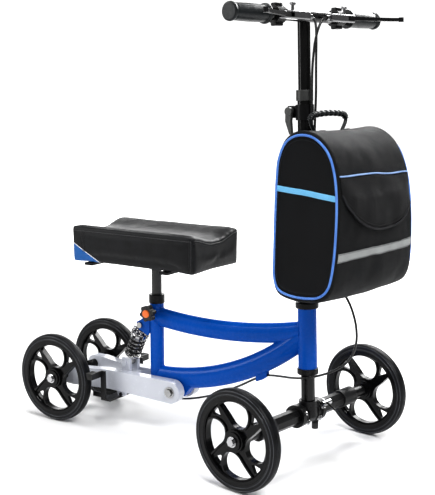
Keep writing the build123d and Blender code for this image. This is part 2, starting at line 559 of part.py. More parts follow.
grip = turned(grip_profile, 0, 0)
keep("handlebar_grips", *[on_bar(grip, s) for s in SIDES])
RING_IN, RING_OUT = 83.0, 107.0
ring = across(0, 0, RING_IN, RING_OUT, 16.5) + block(-7, 7, RING_IN + 2, RING_OUT - 2, 12, 21, 2.5)
ring += block(-8, 8, RING_IN + 2, RING_OUT - 2, -21, -12, 2.5)
ring -= across(0, 0, 0, 200, BAR_R)
PERCH_F0, PERCH_F1 = 17.5, 35.0  # the lever's perch, forward of the bar's axis
PERCH_Z0, PERCH_Z1 = -10.0, 5.0
PIVOT_F, PIVOT_Y = 27.0, 101.0
PERCH_INNER = 24.0
perch = block(PERCH_F0, PERCH_F1, 34, 112, PERCH_Z0, PERCH_Z1, 3.5)
perch += block(10, 22, RING_IN + 3, RING_OUT - 3, -8, 4)
perch -= across(0, 0, 0, 200, 16.5)
perch += across(26, -3, PERCH_INNER, 38, 5.0)
perch += upright(27, 82, 4, 16, 2.8) + across(27, 18, 76, 88, 2.8)
perch -= block(PERCH_F0 + 4, 60, 86, 120, -6.5, 1.5)
perch -= block(PERCH_F0 - 1, 60, 104, 120, -6.5, 1.5)
perch -= across(26, -3, 14, 60, CABLE_R)
perch += upright(PIVOT_F, PIVOT_Y, PERCH_Z0 + 1, PERCH_Z1 + 2, 3.0)
keep("lever_clamps", *[on_bar(ring, s) for s in SIDES])
keep("lever_perches", *[on_bar(perch, s) for s in SIDES])
blade_plan = [
    (23, 92), (33, 92), (41, 120), (54, 160), (66, 197), (76, 214), (76, 220), (70, 221), (60, 203),
    (46, 164), (33, 124), (23, 110),
]
blade_face = fillet(make_face(Plane.XY * Polyline(*blade_plan, close=True)).vertices(), 1.8)
blade = extrude(blade_face, 6.8, dir=(0, 0, 1))
blade = Pos(0, 0, -5.9) * blade + upright(73, 217, -7, 2.0, 5.0)
blade -= upright(PIVOT_F, PIVOT_Y, -10, 10, 3.0 + RUNNING)
keep("brake_lever_right", on_bar(blade, -1))
keep("brake_lever_left", on_bar(blade, 1))

# --- Bag -------------------------------------------------------------------------------------------------
BAG_TOP_HALF, BAG_FOOT_HALF = 112.0, 133.0
BAG_EDGE = 7.0
bag_side = [
    (27, 632), (27, 384), (52, 368), (104, 367), (142, 390), (162, 455), (164, 560), (154, 612),
    (128, 652), (96, 673), (60, 674),
]
bag_sideways = fillet(make_face(Plane.XZ * Polyline(*bag_side, close=True)).vertices(), 14)
bag_front = [(-BAG_FOOT_HALF, 350), (BAG_FOOT_HALF, 350), (BAG_TOP_HALF, 700), (-BAG_TOP_HALF, 700)]
bag = through(bag_sideways, BAG_FOOT_HALF + 10) & extrude(
    make_face(Plane.YZ * Polyline(*bag_front, close=True)), 300, dir=(1, 0, 0)
)
bag = fillet(bag.edges().group_by(Axis.Y)[0] + bag.edges().group_by(Axis.Y)[-1], BAG_EDGE)
keep("storage_bag", steered * bag)
HANDLE_F, HANDLE_R = 51.0, 5.2
handle_half = [(HANDLE_F, 42, 650), (HANDLE_F, 60, 684), (HANDLE_F, 46, 702), (HANDLE_F, 16, 707)]
handle_points = [(f, -l, h) for f, l, h in handle_half] + handle_half[::-1]


def corner_radii(points):
    """Arcs for a route's corners: 0.45 of the shorter run over the tangent of half the turn."""
    radii = []
    for a, b, c in zip(points, points[1:], points[2:]):
        before, after = Vector(*b) - Vector(*a), Vector(*c) - Vector(*b)
        half_turn = radians(before.get_angle(after)) / 2
        radii.append(0.45 * min(before.length, after.length) / tan(half_turn))
    return radii


def cord(name, points, radius):
    """A round cord along straight runs joined by tangent arcs."""
    radii = corner_radii(points)
    path = FilletPolyline(*points, radius=radii)
    tube = sweep(Plane(origin=path @ 0, z_dir=path % 0) * Circle(radius), path=path)
    share = tube.volume / (path.length * pi * radius**2)
    print(f"{name}: length {path.length:.0f}, least radius {min(radii):.1f}, volume share {share:.4f}")
    return tube


keep("bag_handle", steered * (cord("bag_handle", handle_points, HANDLE_R) - bag))

# --- Brake cables ----------------------------------------------------------------------------------------
JOINER_LOW, JOINER_HIGH = 586.0, 616.0
JOINER_F = 20.5
LANE = 2.7
MEETING = 0.4  # between cable ends that meet
joiner = fillet(upright(JOINER_F, 0, JOINER_LOW, JOINER_HIGH, 5.4).edges(), 1.0)
keep("cable_joiner", steered * joiner)
perch_exit_f = BAR_FORWARD + 26


def lever_cable(side):
    """The cable from one lever's perch, across the front of the stem and down to the joiner."""
    return [
        (perch_exit_f, side * (PERCH_INNER - 0.3), BAR_H - 3),
        (perch_exit_f - 1, side * 11, BAR_H - 8),
        (perch_exit_f - 4, side * 3, BAR_H - 24),
        (perch_exit_f - 8, -side * 2.5, BAR_H - 48),
        (perch_exit_f - 12, -side * 6, 795),
        (JOINER_F + 2, -side * 7, 740),
        (JOINER_F, -side * 5, 690),
        (JOINER_F, -side * LANE, 650),
        (JOINER_F, -side * LANE, JOINER_HIGH + MEETING),
    ]


def in_world(points):
    """Points of the steered column's frame, as points of the whole scooter's."""
    return [tuple((steered * Pos(*point)).position) for point in points]


stem_route = [
    (JOINER_F, 0, JOINER_LOW - MEETING), (JOINER_F, 0, 430), (21.5, 3, 392), CLIP_FROM,
    on_run(CLIP_AT - 0.01),
]
loop_route = [
    on_run(CLIP_AT + 0.01), CLIP_TO, (66, 37, 347), (79, 40.5, 322), (90, 40, 291), (94, 38, 260),
    (89, 34, 231), (74, 25, 207), (52, 9, 192), (30, -9, 184), (8, -20, 178.5),
]
frame_route = [(572, -16, 172.5), (541, -8, 169), (515, -2, 165.5), (493.8, 0, 160.9)]
rear_route = [
    (492.2, 0, 160.1), (468, 0, 147), (440, 1.5, 130.5), (406, 1.5, 113), (370, 0, 97), (332, -1, 84),
    (292, 0, 74), (252, 0, 70.5), (212, 0, 69.6), (172, 0, 70),
]
loop_cable = cord("brake_cable_loop", in_world(loop_route) + frame_route, CABLE_R)
rear_cable = cord("brake_cable_rear", rear_route, CABLE_R)
keep("brake_cables_upper", *[steered * cord("brake_cables_upper", lever_cable(s), CABLE_R) for s in SIDES])
keep("brake_cable_stem", steered * cord("brake_cable_stem", stem_route, CABLE_R))
keep("brake_cable_loop", loop_cable)
keep("brake_cable_rear", rear_cable)
guide = plate([(480, 146.5), (497, 154), (506, 161), (506, 182), (480, 170)], -5.5, 5.5, corner=2)
keep("cable_guide", biggest(guide - lower_solid - loop_cable - rear_cable))

# --- Export ----------------------------------------------------------------------------------------------
os.makedirs("parts", exist_ok=True)
for name, solids in nodes.items():
    placed = [Pos(-ORIGIN_X, 0, 0) * x for x in solids]
    export_step(placed[0] if len(placed) == 1 else Compound(children=placed), f"parts/{name}.step")
print(len(nodes), "nodes")
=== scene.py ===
"""Looks of the knee scooter: materials, soft goods, trim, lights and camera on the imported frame.

Metres, in the frame's own axes: X forward, Y to the rider's left, Z up.
"""
import json
import math

import bmesh
import bpy
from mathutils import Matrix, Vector, noise
from mathutils.bvhtree import BVHTree


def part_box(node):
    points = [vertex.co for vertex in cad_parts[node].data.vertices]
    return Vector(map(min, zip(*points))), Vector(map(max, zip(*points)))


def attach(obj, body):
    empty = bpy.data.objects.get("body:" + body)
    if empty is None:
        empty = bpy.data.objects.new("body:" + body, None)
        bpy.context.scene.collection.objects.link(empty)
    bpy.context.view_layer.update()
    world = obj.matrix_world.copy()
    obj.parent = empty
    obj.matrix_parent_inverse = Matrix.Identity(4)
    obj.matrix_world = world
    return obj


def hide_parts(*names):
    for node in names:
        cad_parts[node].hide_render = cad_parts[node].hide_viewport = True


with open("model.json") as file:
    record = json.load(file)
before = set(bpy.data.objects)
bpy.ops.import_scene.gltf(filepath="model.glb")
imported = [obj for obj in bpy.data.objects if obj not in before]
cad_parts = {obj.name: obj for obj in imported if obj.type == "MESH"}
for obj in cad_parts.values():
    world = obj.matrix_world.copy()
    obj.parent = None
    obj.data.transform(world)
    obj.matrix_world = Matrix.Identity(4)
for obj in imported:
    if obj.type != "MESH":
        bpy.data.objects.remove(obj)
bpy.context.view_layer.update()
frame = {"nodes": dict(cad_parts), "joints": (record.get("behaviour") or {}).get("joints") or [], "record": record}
nodes = frame["nodes"]

MM = 0.001
SIDES = (-1, 1)
joints = {joint["name"]: joint for joint in frame["joints"]}
COLUMN_FOOT = Vector(joints["steering"]["pos_m"])
COLUMN_UP = Vector(joints["steering"]["axis"]).normalized()
STEER_LEFT = Vector(joints["stem_fold"]["axis"]).normalized()
STEER_FORWARD = STEER_LEFT.cross(COLUMN_UP)


def steered(forward, left, up):
    """A point given in mm in the turned column's own frame, as a point of the whole scooter."""
    return COLUMN_FOOT + (STEER_FORWARD * forward + STEER_LEFT * left + COLUMN_UP * up) * MM


# --- Materials ----------------------------------------------------------------------------------------
def add_node(tree, kind, inputs=(), **settings):
    """A shader node with its settings made, and its inputs set or linked by name or number."""
    node = tree.nodes.new(kind)
    for key, value in settings.items():
        setattr(node, key, value)
    for key, value in dict(inputs).items():
        socket = node.inputs[key]
        if isinstance(value, bpy.types.NodeSocket):
            tree.links.new(value, socket)
        else:
            socket.default_value = value
    return node


def math_node(tree, operation, a, b=0.0, clamp=False):
    """The output of one Math node."""
    node = add_node(tree, "ShaderNodeMath", operation=operation, use_clamp=clamp)
    for socket, value in zip(node.inputs, (a, b)):
        if isinstance(value, bpy.types.NodeSocket):
            tree.links.new(value, socket)
        else:
            socket.default_value = value
    return node.outputs[0]


def noise_node(tree, place, scale, detail=3.0, rough=0.5):
    """The value of a noise texture, in features per metre."""
    settings = {"Vector": place, "Scale": scale, "Detail": detail, "Roughness": rough}
    return add_node(tree, "ShaderNodeTexNoise", settings).outputs["Fac"]


def spread(tree, value, low, high):
    """A value's middle range stretched to run from low to high."""
    settings = {"Value": value, "From Min": 0.3, "From Max": 0.7, "To Min": low, "To Max": high}
    return add_node(tree, "ShaderNodeMapRange", settings).outputs[0]


def mix_colours(tree, share, first, second):
    """The colour that is share of the way from the first to the second."""
    node = add_node(tree, "ShaderNodeMix", data_type="RGBA")
    for key, value in ((0, share), (6, first), (7, second)):
        if isinstance(value, bpy.types.NodeSocket):
            tree.links.new(value, node.inputs[key])
        elif key:
            node.inputs[key].default_value = (*value, 1.0)
        else:
            node.inputs[key].default_value = value
    return node.outputs[2]


def new_material(name, **constants):
    """A material with its shader's constants set, and the object's own coordinates."""
    mat = bpy.data.materials.new(name)
    mat.use_nodes = True
    tree = mat.node_tree
    shader = tree.nodes["Principled BSDF"]
    for key, value in constants.items():
        shader.inputs[key.replace("_", " ")].default_value = value
    place = tree.nodes.new("ShaderNodeTexCoord").outputs["Object"]
    return mat, tree, shader, place


def finish_material(tree, shader, colour, rough, height, depth):
    """Link a material's colour and roughness, and its height as a bump of that depth in metres."""
    tree.links.new(colour, shader.inputs["Base Color"])
    tree.links.new(rough, shader.inputs["Roughness"])
    bump = add_node(tree, "ShaderNodeBump", {"Height": height, "Distance": depth, "Strength": 1.0})
    tree.links.new(bump.outputs[0], shader.inputs["Normal"])


def shaded(name, colour, rough, grain=900, depth=0.00006, vary=0.15, patch=14, **constants):
    """A moulded, painted or plated surface: fine grain, slow colour change and patchy gloss."""
    mat, tree, shader, place = new_material(name, **constants)
    darker = tuple(c * (1 - vary) for c in colour)
    lighter = tuple(min(1.0, c * (1 + vary) + 0.004) for c in colour)
    slow = noise_node(tree, place, patch, 4.0)
    fine = noise_node(tree, place, grain, 2.0)
    hue = mix_colours(tree, spread(tree, slow, 0.0, 1.0), darker, lighter)
    gloss = spread(tree, noise_node(tree, place, patch * 9, 3.0), rough * 0.85, min(1.0, rough * 1.2))
    finish_material(tree, shader, hue, gloss, fine, depth)
    return mat


def brushed(name, colour, rough, stretch=(1, 1, 12), **constants):
    """Metal with fine drawn lines along one axis."""
    mat, tree, shader, place = new_material(name, Metallic=1.0, **constants)
    lines = add_node(tree, "ShaderNodeMapping", {"Vector": place, "Scale": stretch}).outputs[0]
    fine = noise_node(tree, lines, 700, 3.0)
    slow = noise_node(tree, place, 60, 3.0)
    hue = mix_colours(tree, spread(tree, slow, 0.0, 1.0), tuple(c * 0.8 for c in colour), colour)
    finish_material(tree, shader, hue, spread(tree, fine, rough * 0.7, rough * 1.3), fine, 0.00003)
    return mat


def tyre_material():
    """Solid tyre rubber: bluish black, with dusty patches and a speckled grain."""
    mat, tree, shader, place = new_material("tyre_solid", Specular_IOR_Level=0.22)
    dust = noise_node(tree, place, 55, 6.0, 0.65)
    speck = noise_node(tree, place, 1400, 2.0)
    hue = mix_colours(tree, spread(tree, dust, 0.0, 1.0), (0.003, 0.003, 0.0035), (0.010, 0.0105, 0.013))
    rough = spread(tree, dust, 0.34, 0.50)
    finish_material(tree, shader, hue, rough, math_node(tree, "MULTIPLY", speck, dust), 0.00015)
    return mat


def leather_material(corners, blue_x, blue_z):
    """Grained black leather, with a blue panel and its white edge at the pad's rear lower corners."""
    mat, tree, shader, place = new_material("pad_leather", Specular_IOR_Level=0.20, Coat_Weight=0.05)
    shader.inputs["Coat Roughness"].default_value = 0.35
    low, high = corners
    axes = add_node(tree, "ShaderNodeSeparateXYZ", {0: place}).outputs
    from_rear = math_node(tree, "SUBTRACT", axes[0], low.x)
    from_side = math_node(tree, "SUBTRACT", high.y, math_node(tree, "ABSOLUTE", axes[1]))
    along = math_node(tree, "DIVIDE", math_node(tree, "ADD", from_rear, from_side), blue_x)
    risen = math_node(tree, "DIVIDE", math_node(tree, "SUBTRACT", axes[2], low.z), blue_z)
    reach = math_node(tree, "ADD", along, risen)
    is_blue = math_node(tree, "LESS_THAN", reach, 1.0)
    from_edge = math_node(tree, "ABSOLUTE", math_node(tree, "SUBTRACT", reach, 1.0))
    is_edge = math_node(tree, "LESS_THAN", from_edge, 0.022)
    cells = add_node(tree, "ShaderNodeTexVoronoi", {"Vector": place, "Scale": 620.0}).outputs["Distance"]
    crease = noise_node(tree, place, 38, 5.0, 0.6)
    worn = spread(tree, crease, 0.0, 1.0)
    black = mix_colours(tree, worn, (0.004, 0.004, 0.0045), (0.010, 0.0105, 0.012))
    hue = mix_colours(tree, is_blue, black, (0.012, 0.11, 0.36))
    hue = mix_colours(tree, is_edge, hue, (0.80, 0.82, 0.85))
    height = math_node(tree, "ADD", cells, math_node(tree, "MULTIPLY", crease, 2.2))
    finish_material(tree, shader, hue, spread(tree, crease, 0.36, 0.50), height, 0.00022)
    return mat


def nylon_material(name, light, dark, pitch=0.0011, rough=0.62, sheen=0.04):
    """Woven nylon: crossing threads, lightened where they cross high as a painted highlight, with soft patches
    where the cloth is rubbed.
    """
    mat, tree, shader, place = new_material(name, Sheen_Weight=sheen, Specular_IOR_Level=0.16)
    shader.inputs["Sheen Roughness"].default_value = 0.45
    axes = add_node(tree, "ShaderNodeSeparateXYZ", {0: place}).outputs
    around = math_node(tree, "ADD", axes[0], math_node(tree, "MULTIPLY", axes[1], 0.9))
    threads = []
    for axis in (around, axes[2]):
        threads.append(math_node(tree, "SINE", math_node(tree, "MULTIPLY", axis, 2 * math.pi / pitch)))
    weave = math_node(tree, "MULTIPLY", threads[0], threads[1])
    rubbed = noise_node(tree, place, 26, 5.0, 0.6)
    hue = mix_colours(tree, spread(tree, rubbed, 0.0, 1.0), dark, light)
    # Painted highlight: the raised thread crossings are mixed towards a lighter colour, as if they caught the
    # light.
    crest_highlight = math_node(tree, "MULTIPLY", weave, 0.25, clamp=True)
    hue = mix_colours(tree, crest_highlight, hue, tuple(c * 2.2 for c in light))
    slub = math_node(tree, "MULTIPLY", noise_node(tree, place, 420, 3.0), 0.7)
    finish_material(tree, shader, hue, spread(tree, rubbed, rough * 0.88, rough * 1.12),
                    math_node(tree, "ADD", weave, slub), 0.00016)
    return mat


BLUE = (0.0, 0.080, 0.42)
# Colour, roughness, grain per metre, grain depth in metres, colour change, and the shader's other constants
SURFACES = {
    "blue_paint": (
        BLUE, 0.26, 500, 0.00001, 0.04,
        {"Specular_IOR_Level": 0.05, "Coat_Weight": 0.12, "Coat_Roughness": 0.04},
    ),
    "white_paint": ((0.58, 0.60, 0.66), 0.24, 600, 0.00004, 0.05, {"Coat_Weight": 0.4}),
    "black_paint": (
        (0.003, 0.003, 0.003), 0.16, 500, 0.00001, 0.2,
        {"Specular_IOR_Level": 0.2, "Coat_Weight": 0.15, "Coat_Roughness": 0.04},
    ),
    "satin_black": ((0.005, 0.005, 0.0055), 0.30, 1300, 0.00003, 0.25, {"Specular_IOR_Level": 0.2}),
    "grey_paint": ((0.030, 0.031, 0.030), 0.38, 1500, 0.00005, 0.2, {}),
    "black_steel": ((0.007, 0.007, 0.0075), 0.36, 800, 0.00006, 0.3, {"Specular_IOR_Level": 0.35}),
    "rim_plastic": ((0.0035, 0.0035, 0.004), 0.22, 900, 0.00001, 0.25, {"Specular_IOR_Level": 0.20}),
    "collar_plastic": ((0.012, 0.012, 0.013), 0.40, 1200, 0.00008, 0.25, {}),
    "knob_plastic": ((0.012, 0.012, 0.012), 0.45, 1100, 0.00012, 0.25, {}),
    "orange_plastic": ((0.80, 0.16, 0.02), 0.30, 1500, 0.00003, 0.1, {}),
    "brake_pad": ((0.014, 0.014, 0.014), 0.80, 1600, 0.00025, 0.3, {}),
    "grip_rubber": ((0.006, 0.0075, 0.0085), 0.32, 1300, 0.00012, 0.25, {"Specular_IOR_Level": 0.3}),
    "cable_black": ((0.008, 0.008, 0.008), 0.28, 1800, 0.00003, 0.2, {}),
    "spring_black": ((0.003, 0.003, 0.0035), 0.30, 700, 0.00002, 0.2, {"Specular_IOR_Level": 0.25}),
}
materials = {}
for name, (colour, rough, grain, depth, vary, more) in SURFACES.items():
    materials[name] = shaded(name, colour, rough, grain, depth, vary, **more)
materials["chrome"] = brushed("chrome", (0.50, 0.50, 0.51), 0.10)
materials["zinc"] = brushed("zinc", (0.38, 0.38, 0.38), 0.20)
materials["lever_alloy"] = brushed("lever_alloy", (0.26, 0.26, 0.265), 0.18, (3, 3, 3))
materials["tyre"] = tyre_material()
slot_of = {part["node"]: part["material_slot"] for part in frame["record"]["subparts"]}


def dress(obj, mat):
    """Give every face of an object one material."""
    obj.data.materials.clear()
    obj.data.materials.append(mat)


for name, obj in nodes.items():
    if slot_of[name] in materials:
        dress(obj, materials[slot_of[name]])


# --- Mesh helpers ---------------------------------------------------------------------------------------
def mesh_object(name, verts, faces, mat, body, slot, smooth=True):
    """A new mesh piece that rides on a body."""
    data = bpy.data.meshes.new(name)
    data.from_pydata([tuple(v) for v in verts], [], faces)
    data.validate()
    obj = bpy.data.objects.new(name, data)
    bpy.context.scene.collection.objects.link(obj)
    tidy = bmesh.new()
    tidy.from_mesh(data)
    bmesh.ops.remove_doubles(tidy, verts=tidy.verts, dist=1e-6)
    bmesh.ops.recalc_face_normals(tidy, faces=tidy.faces)
    tidy.to_mesh(data)
    tidy.free()
    for polygon in data.polygons:
        polygon.use_smooth = smooth
    data.materials.append(mat)
    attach(obj, body)
    return obj


def smooth_path(points, closed=False, steps=6):
    """Points along a Catmull-Rom curve through the given points."""
    points = [Vector(p) for p in points]
    count = len(points)
    spans = count if closed else count - 1
    path = []
    for i in range(spans):
        if closed:
            ring = [points[(i + k) % count] for k in (-1, 0, 1, 2)]
        else:
            ring = [points[min(max(i + k, 0), count - 1)] for k in (-1, 0, 1, 2)]
        for step in range(steps):
            t = step / steps
            a, b, c, d = ring
            path.append(0.5 * (2 * b + (c - a) * t + (2 * a - 5 * b + 4 * c - d) * t**2
                               + (3 * b - a - 3 * c + d) * t**3))
    if not closed:
        path.append(points[-1])
    return path


def tube_mesh(path, radius, sides=10, closed=False, flat=1.0, face_out=None):
    """Vertices and faces of a tube along a path. radius may be a function of the share of its length."""
    count = len(path)
    verts, faces = [], []
    side = None
    for i, point in enumerate(path):
        before = path[i - 1] if i or closed else point
        after = path[(i + 1) % count] if i < count - 1 or closed else point
        along = (after - before).normalized()
        if face_out is not None:
            side = (face_out(point) - along * face_out(point).dot(along)).normalized()
        elif side is None:
            side = along.orthogonal().normalized()
        else:
            side = (side - along * side.dot(along)).normalized()
        across = along.cross(side)
        r = radius(i / (count - 1)) if callable(radius) else radius
        for k in range(sides):
            angle = 2 * math.pi * k / sides
            verts.append(point + side * (r * flat * math.cos(angle)) + across * (r * math.sin(angle)))
    rings = count if closed else count - 1
    for i in range(rings):
        for k in range(sides):
            a, b = i * sides + k, i * sides + (k + 1) % sides
            c, d = ((i + 1) % count) * sides + (k + 1) % sides, ((i + 1) % count) * sides + k
            faces.append((a, b, c, d))
    if not closed:
        faces.append(tuple(range(sides))[::-1])
        faces.append(tuple(range((count - 1) * sides, count * sides)))
    return verts, faces


def tube(name, path, radius, mat, body, slot, **more):
    """A tube piece along a path."""
    return mesh_object(name, *tube_mesh(path, radius, **more), mat, body, slot)


def joined(parts):
    """Several lists of vertices and faces as one."""
    verts, faces = [], []
    for more_verts, more_faces in parts:
        start = len(verts)
        verts.extend(more_verts)
        faces.extend(tuple(start + i for i in face) for face in more_faces)
    return verts, faces


def resampled(path, spacing):
    """Points evenly spaced along a path, with the direction at each."""
    out, carried = [], 0.0
    for a, b in zip(path, path[1:]):
        run = (b - a).length
        at = carried
        while at < run:
            out.append((a + (b - a) * (at / run), (b - a).normalized()))
            at += spacing
        carried = at - run
    return out


def stitching(name, path, out, mat, body, slot, spacing=0.0042, length=0.0030, radius=0.00042):
    """A row of sewn stitches: short rounded threads that dip at both ends. out gives the surface's normal."""
    parts = []
    for point, along in resampled(path, spacing):
        normal = out(point)
        thread = []
        for share in (-0.5, -0.25, 0.0, 0.25, 0.5):
            lift = radius * (1.1 - 5.0 * share * share)
            thread.append(point + along * (length * share) + normal * lift)
        parts.append(tube_mesh(thread, radius, sides=6))
    return mesh_object(name, *joined(parts), mat, body, slot)


def surface_of(obj):
    """A tree for finding the nearest point of an object's mesh."""
    return BVHTree.FromObject(obj, bpy.context.evaluated_depsgraph_get())


def snapped(tree, path, lift=0.0):
    """A path moved onto a surface, and lifted off it."""
    out = []
    for point in path:
        place, normal, _, _ = tree.find_nearest(point)
        out.append(place + normal * lift)
    return out


# --- Knee pad -------------------------------------------------------------------------------------------
pad_low, pad_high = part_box("knee_pad")
PAD_SWELL = 0.0028  # metres kept free round the form for the filling
PAD_TROUGH = 0.0115  # metres that the pad's middle lies below its raised sides
VOXEL = 0.0042
PAD_PRESSURE = 4.0
PAD_CAP = PAD_SWELL * 0.6
TROUGH_HALF, RISE_WIDE = 0.014, 0.066  # metres from the pad's middle line: the flat trough, then its rise
END_DISH, END_DISH_LONG = 0.0025, 0.03
EDGE_ROLL, EDGE_ROLL_WIDE = 0.002, 0.010


def pad_top(y, x):
    """Height of the pad's upper surface: raised along both sides, with softly dished ends."""
    half = pad_high.y
    share = min(1.0, max(0.0, (abs(y) - TROUGH_HALF) / RISE_WIDE))
    rise = share * share * (3 - 2 * share)
    end = min(x - pad_low.x, pad_high.x - x)
    dish = END_DISH * math.exp(-(end / END_DISH_LONG) ** 2) * (1 - rise)
    roll = EDGE_ROLL * max(0.0, (abs(y) - half + EDGE_ROLL_WIDE) / EDGE_ROLL_WIDE) ** 2
    return pad_high.z - PAD_SWELL - PAD_TROUGH * (1 - rise) - dish - roll


def pad_form():
    """The pad's closed form before it is filled, as one mesh of quads."""
    rows, columns, layers = 33, 27, 7
    x0, x1 = pad_low.x + PAD_SWELL, pad_high.x - PAD_SWELL
    half = pad_high.y - PAD_SWELL
    grid = bmesh.new()
    corner = 0.006

    def place(i, j, k):
        s, t, u = i / (rows - 1), j / (columns - 1), k / (layers - 1)
        x, y = x0 + (x1 - x0) * s, -half + 2 * half * t
        z = pad_low.z + (pad_top(y, x) - pad_low.z) * u
        inset = 0.0015 * (1 - u)
        dx, dy = max(0.0, corner - min(x - x0, x1 - x)), max(0.0, corner - (half - abs(y)))
        if dx and dy:
            pull = max(0.0, math.hypot(dx, dy) - corner)
            x += math.copysign(pull * 0.7, (x0 + x1) / 2 - x)
            y -= math.copysign(pull * 0.7, y)
        y -= math.copysign(inset, y) if abs(y) > half - 0.004 else 0.0
        return Vector((x, y, z))

    cache = {}

    def vert(i, j, k):
        key = (i, j, k)
        if key not in cache:
            cache[key] = grid.verts.new(place(i, j, k))
        return cache[key]

    for k in (0, layers - 1):
        for i in range(rows - 1):
            for j in range(columns - 1):
                grid.faces.new([vert(i, j, k), vert(i + 1, j, k), vert(i + 1, j + 1, k), vert(i, j + 1, k)])
    for k in range(layers - 1):
        for j in (0, columns - 1):
            for i in range(rows - 1):
                grid.faces.new([vert(i, j, k), vert(i + 1, j, k), vert(i + 1, j, k + 1), vert(i, j, k + 1)])
        for i in (0, rows - 1):
            for j in range(columns - 1):
                grid.faces.new([vert(i, j, k), vert(i, j + 1, k), vert(i, j + 1, k + 1), vert(i, j, k + 1)])
    bmesh.ops.recalc_face_normals(grid, faces=grid.faces)
    data = bpy.data.meshes.new("knee_pad_cover")
    grid.to_mesh(data)
    grid.free()
    obj = bpy.data.objects.new("knee_pad_cover", data)
    bpy.context.scene.collection.objects.link(obj)
    return obj


def apply_modifiers(obj):
    """Replace an object's mesh with its evaluated one and drop its modifiers."""
    evaluated = obj.evaluated_get(bpy.context.evaluated_depsgraph_get())
    data = bpy.data.meshes.new_from_object(evaluated)
    obj.modifiers.clear()
    obj.data = data


def filled(obj, voxel, pressure, cap, frames=20):
    """Remesh a closed form, let cloth pressure swell it by no more than the cap, and smooth it."""
    remesh = obj.modifiers.new("Remesh", "REMESH")
    remesh.mode = "VOXEL"
    remesh.voxel_size = voxel
    apply_modifiers(obj)
    rest = [v.co.copy() for v in obj.data.vertices]
    cloth = obj.modifiers.new("Cloth", "CLOTH")
    cloth.settings.use_pressure = True
    cloth.settings.uniform_pressure_force = pressure
    cloth.settings.effector_weights.gravity = 0
    cloth.settings.quality = 5
    cloth.point_cache.frame_start, cloth.point_cache.frame_end = 1, frames
    for number in range(1, frames + 1):
        bpy.context.scene.frame_set(number)
    apply_modifiers(obj)
    bpy.context.scene.frame_set(1)
    for vertex, start in zip(obj.data.vertices, rest):
        moved = vertex.co - start
        if moved.length > cap:
            vertex.co = start + moved * (cap / moved.length)
    smooth = obj.modifiers.new("Smooth", "SMOOTH")
    smooth.factor, smooth.iterations = 0.5, 3
    apply_modifiers(obj)
    return obj


def fitted(obj, low, high):
    """Stretch a mesh so that its bounding box runs from low to high."""
    points = [v.co for v in obj.data.vertices]
    for axis in range(3):
        least, most = min(p[axis] for p in points), max(p[axis] for p in points)
        scale = (high[axis] - low[axis]) / (most - least)
        for p in points:
            p[axis] = low[axis] + (p[axis] - least) * scale


pad = filled(pad_form(), VOXEL, PAD_PRESSURE, PAD_CAP)
PAD_PROUD = 0.0028  # how far the swollen pad stands outside its CAD solid
pad_edge = Vector((PAD_PROUD, PAD_PROUD, 0))
fitted(pad, pad_low - pad_edge, pad_high + pad_edge + Vector((0, 0, 2 * PAD_PROUD)))
for vertex in pad.data.vertices:
    co = vertex.co
    co.z = max(co.z, pad_low.z + 0.0003)
    wrinkle = noise.noise(co * 22.0) * 0.0007 + noise.noise(co * 60.0) * 0.00025
    near_top = 1.0 if co.z > pad_low.z + 0.055 else 0.35
    vertex.co = co + Vector((0, 0, wrinkle * near_top if co.z > pad_low.z + 0.002 else 0.0))
division = pad.modifiers.new("Subdivision", "SUBSURF")
division.levels = division.render_levels = 1
apply_modifiers(pad)
BLUE_LONG, BLUE_TALL = 0.084, 0.044
leather = leather_material((pad_low, pad_high), BLUE_LONG, BLUE_TALL)
dress(pad, leather)
for polygon in pad.data.polygons:
    polygon.use_smooth = True
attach(pad, "seat")
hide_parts("knee_pad")
pad_tree = surface_of(pad)
seam_leather = shaded("seam_leather", (0.016, 0.016, 0.018), 0.42, 900, 0.00012, 0.3)
thread_black = shaded("thread_black", (0.020, 0.020, 0.022), 0.55, 2200, 0.00008, 0.2)


def pad_normal(point):
    """The pad's outward direction at the nearest point of its surface."""
    return pad_tree.find_nearest(point)[1]


REAR_SEAM_X = pad_low.x + 0.035
SEAM_R, SEAM_LIFT, SEAM_ROW = 0.0009, 0.0001, 0.0032  # a seam's radius, its lift, and on to its stitches
seam_number = 0
for side in SIDES:
    wall = side * (pad_high.y + 0.004)
    for x in (REAR_SEAM_X, pad_high.x - 0.003):
        top = pad_high.z - 0.004
        blue_share = 1 - (x - pad_low.x) / BLUE_LONG
        foot = pad_low.z + (BLUE_TALL * blue_share if blue_share > 0 else 0.001)
        glint_line = [Vector((x, wall, foot + (top - foot) * k / 14)) for k in range(15)]
        seam_number += 1
        glint_line = snapped(pad_tree, glint_line, SEAM_LIFT)
        tube(f"pad_seam_{seam_number}", glint_line, SEAM_R, seam_leather, "seat", "pad_leather", sides=8)
        for shift in (-SEAM_ROW, SEAM_ROW):
            row = snapped(pad_tree, [p + Vector((shift, 0, 0)) for p in glint_line])
            label = f"pad_stitches_{seam_number}_{'a' if shift < 0 else 'b'}"
            stitching(label, row, pad_normal, thread_black, "seat", "pad_leather")
for end, x in (("rear", pad_low.x), ("front", pad_high.x)):
    outward = -0.004 if end == "rear" else 0.004
    glint_line = []
    for k in range(41):
        y = (pad_high.y - 0.004) * (2 * k / 40 - 1)
        glint_line.append(Vector((x + outward, y, pad_top(y, x) - 0.0015)))
    glint_line = snapped(pad_tree, glint_line, SEAM_LIFT)
    tube(f"pad_end_seam_{end}", glint_line, SEAM_R, seam_leather, "seat", "pad_leather", sides=8)
    row = snapped(pad_tree, [p - Vector((0, 0, 0.0045)) for p in glint_line])
    stitching(f"pad_end_stitches_{end}", row, pad_normal, thread_black, "seat", "pad_leather")
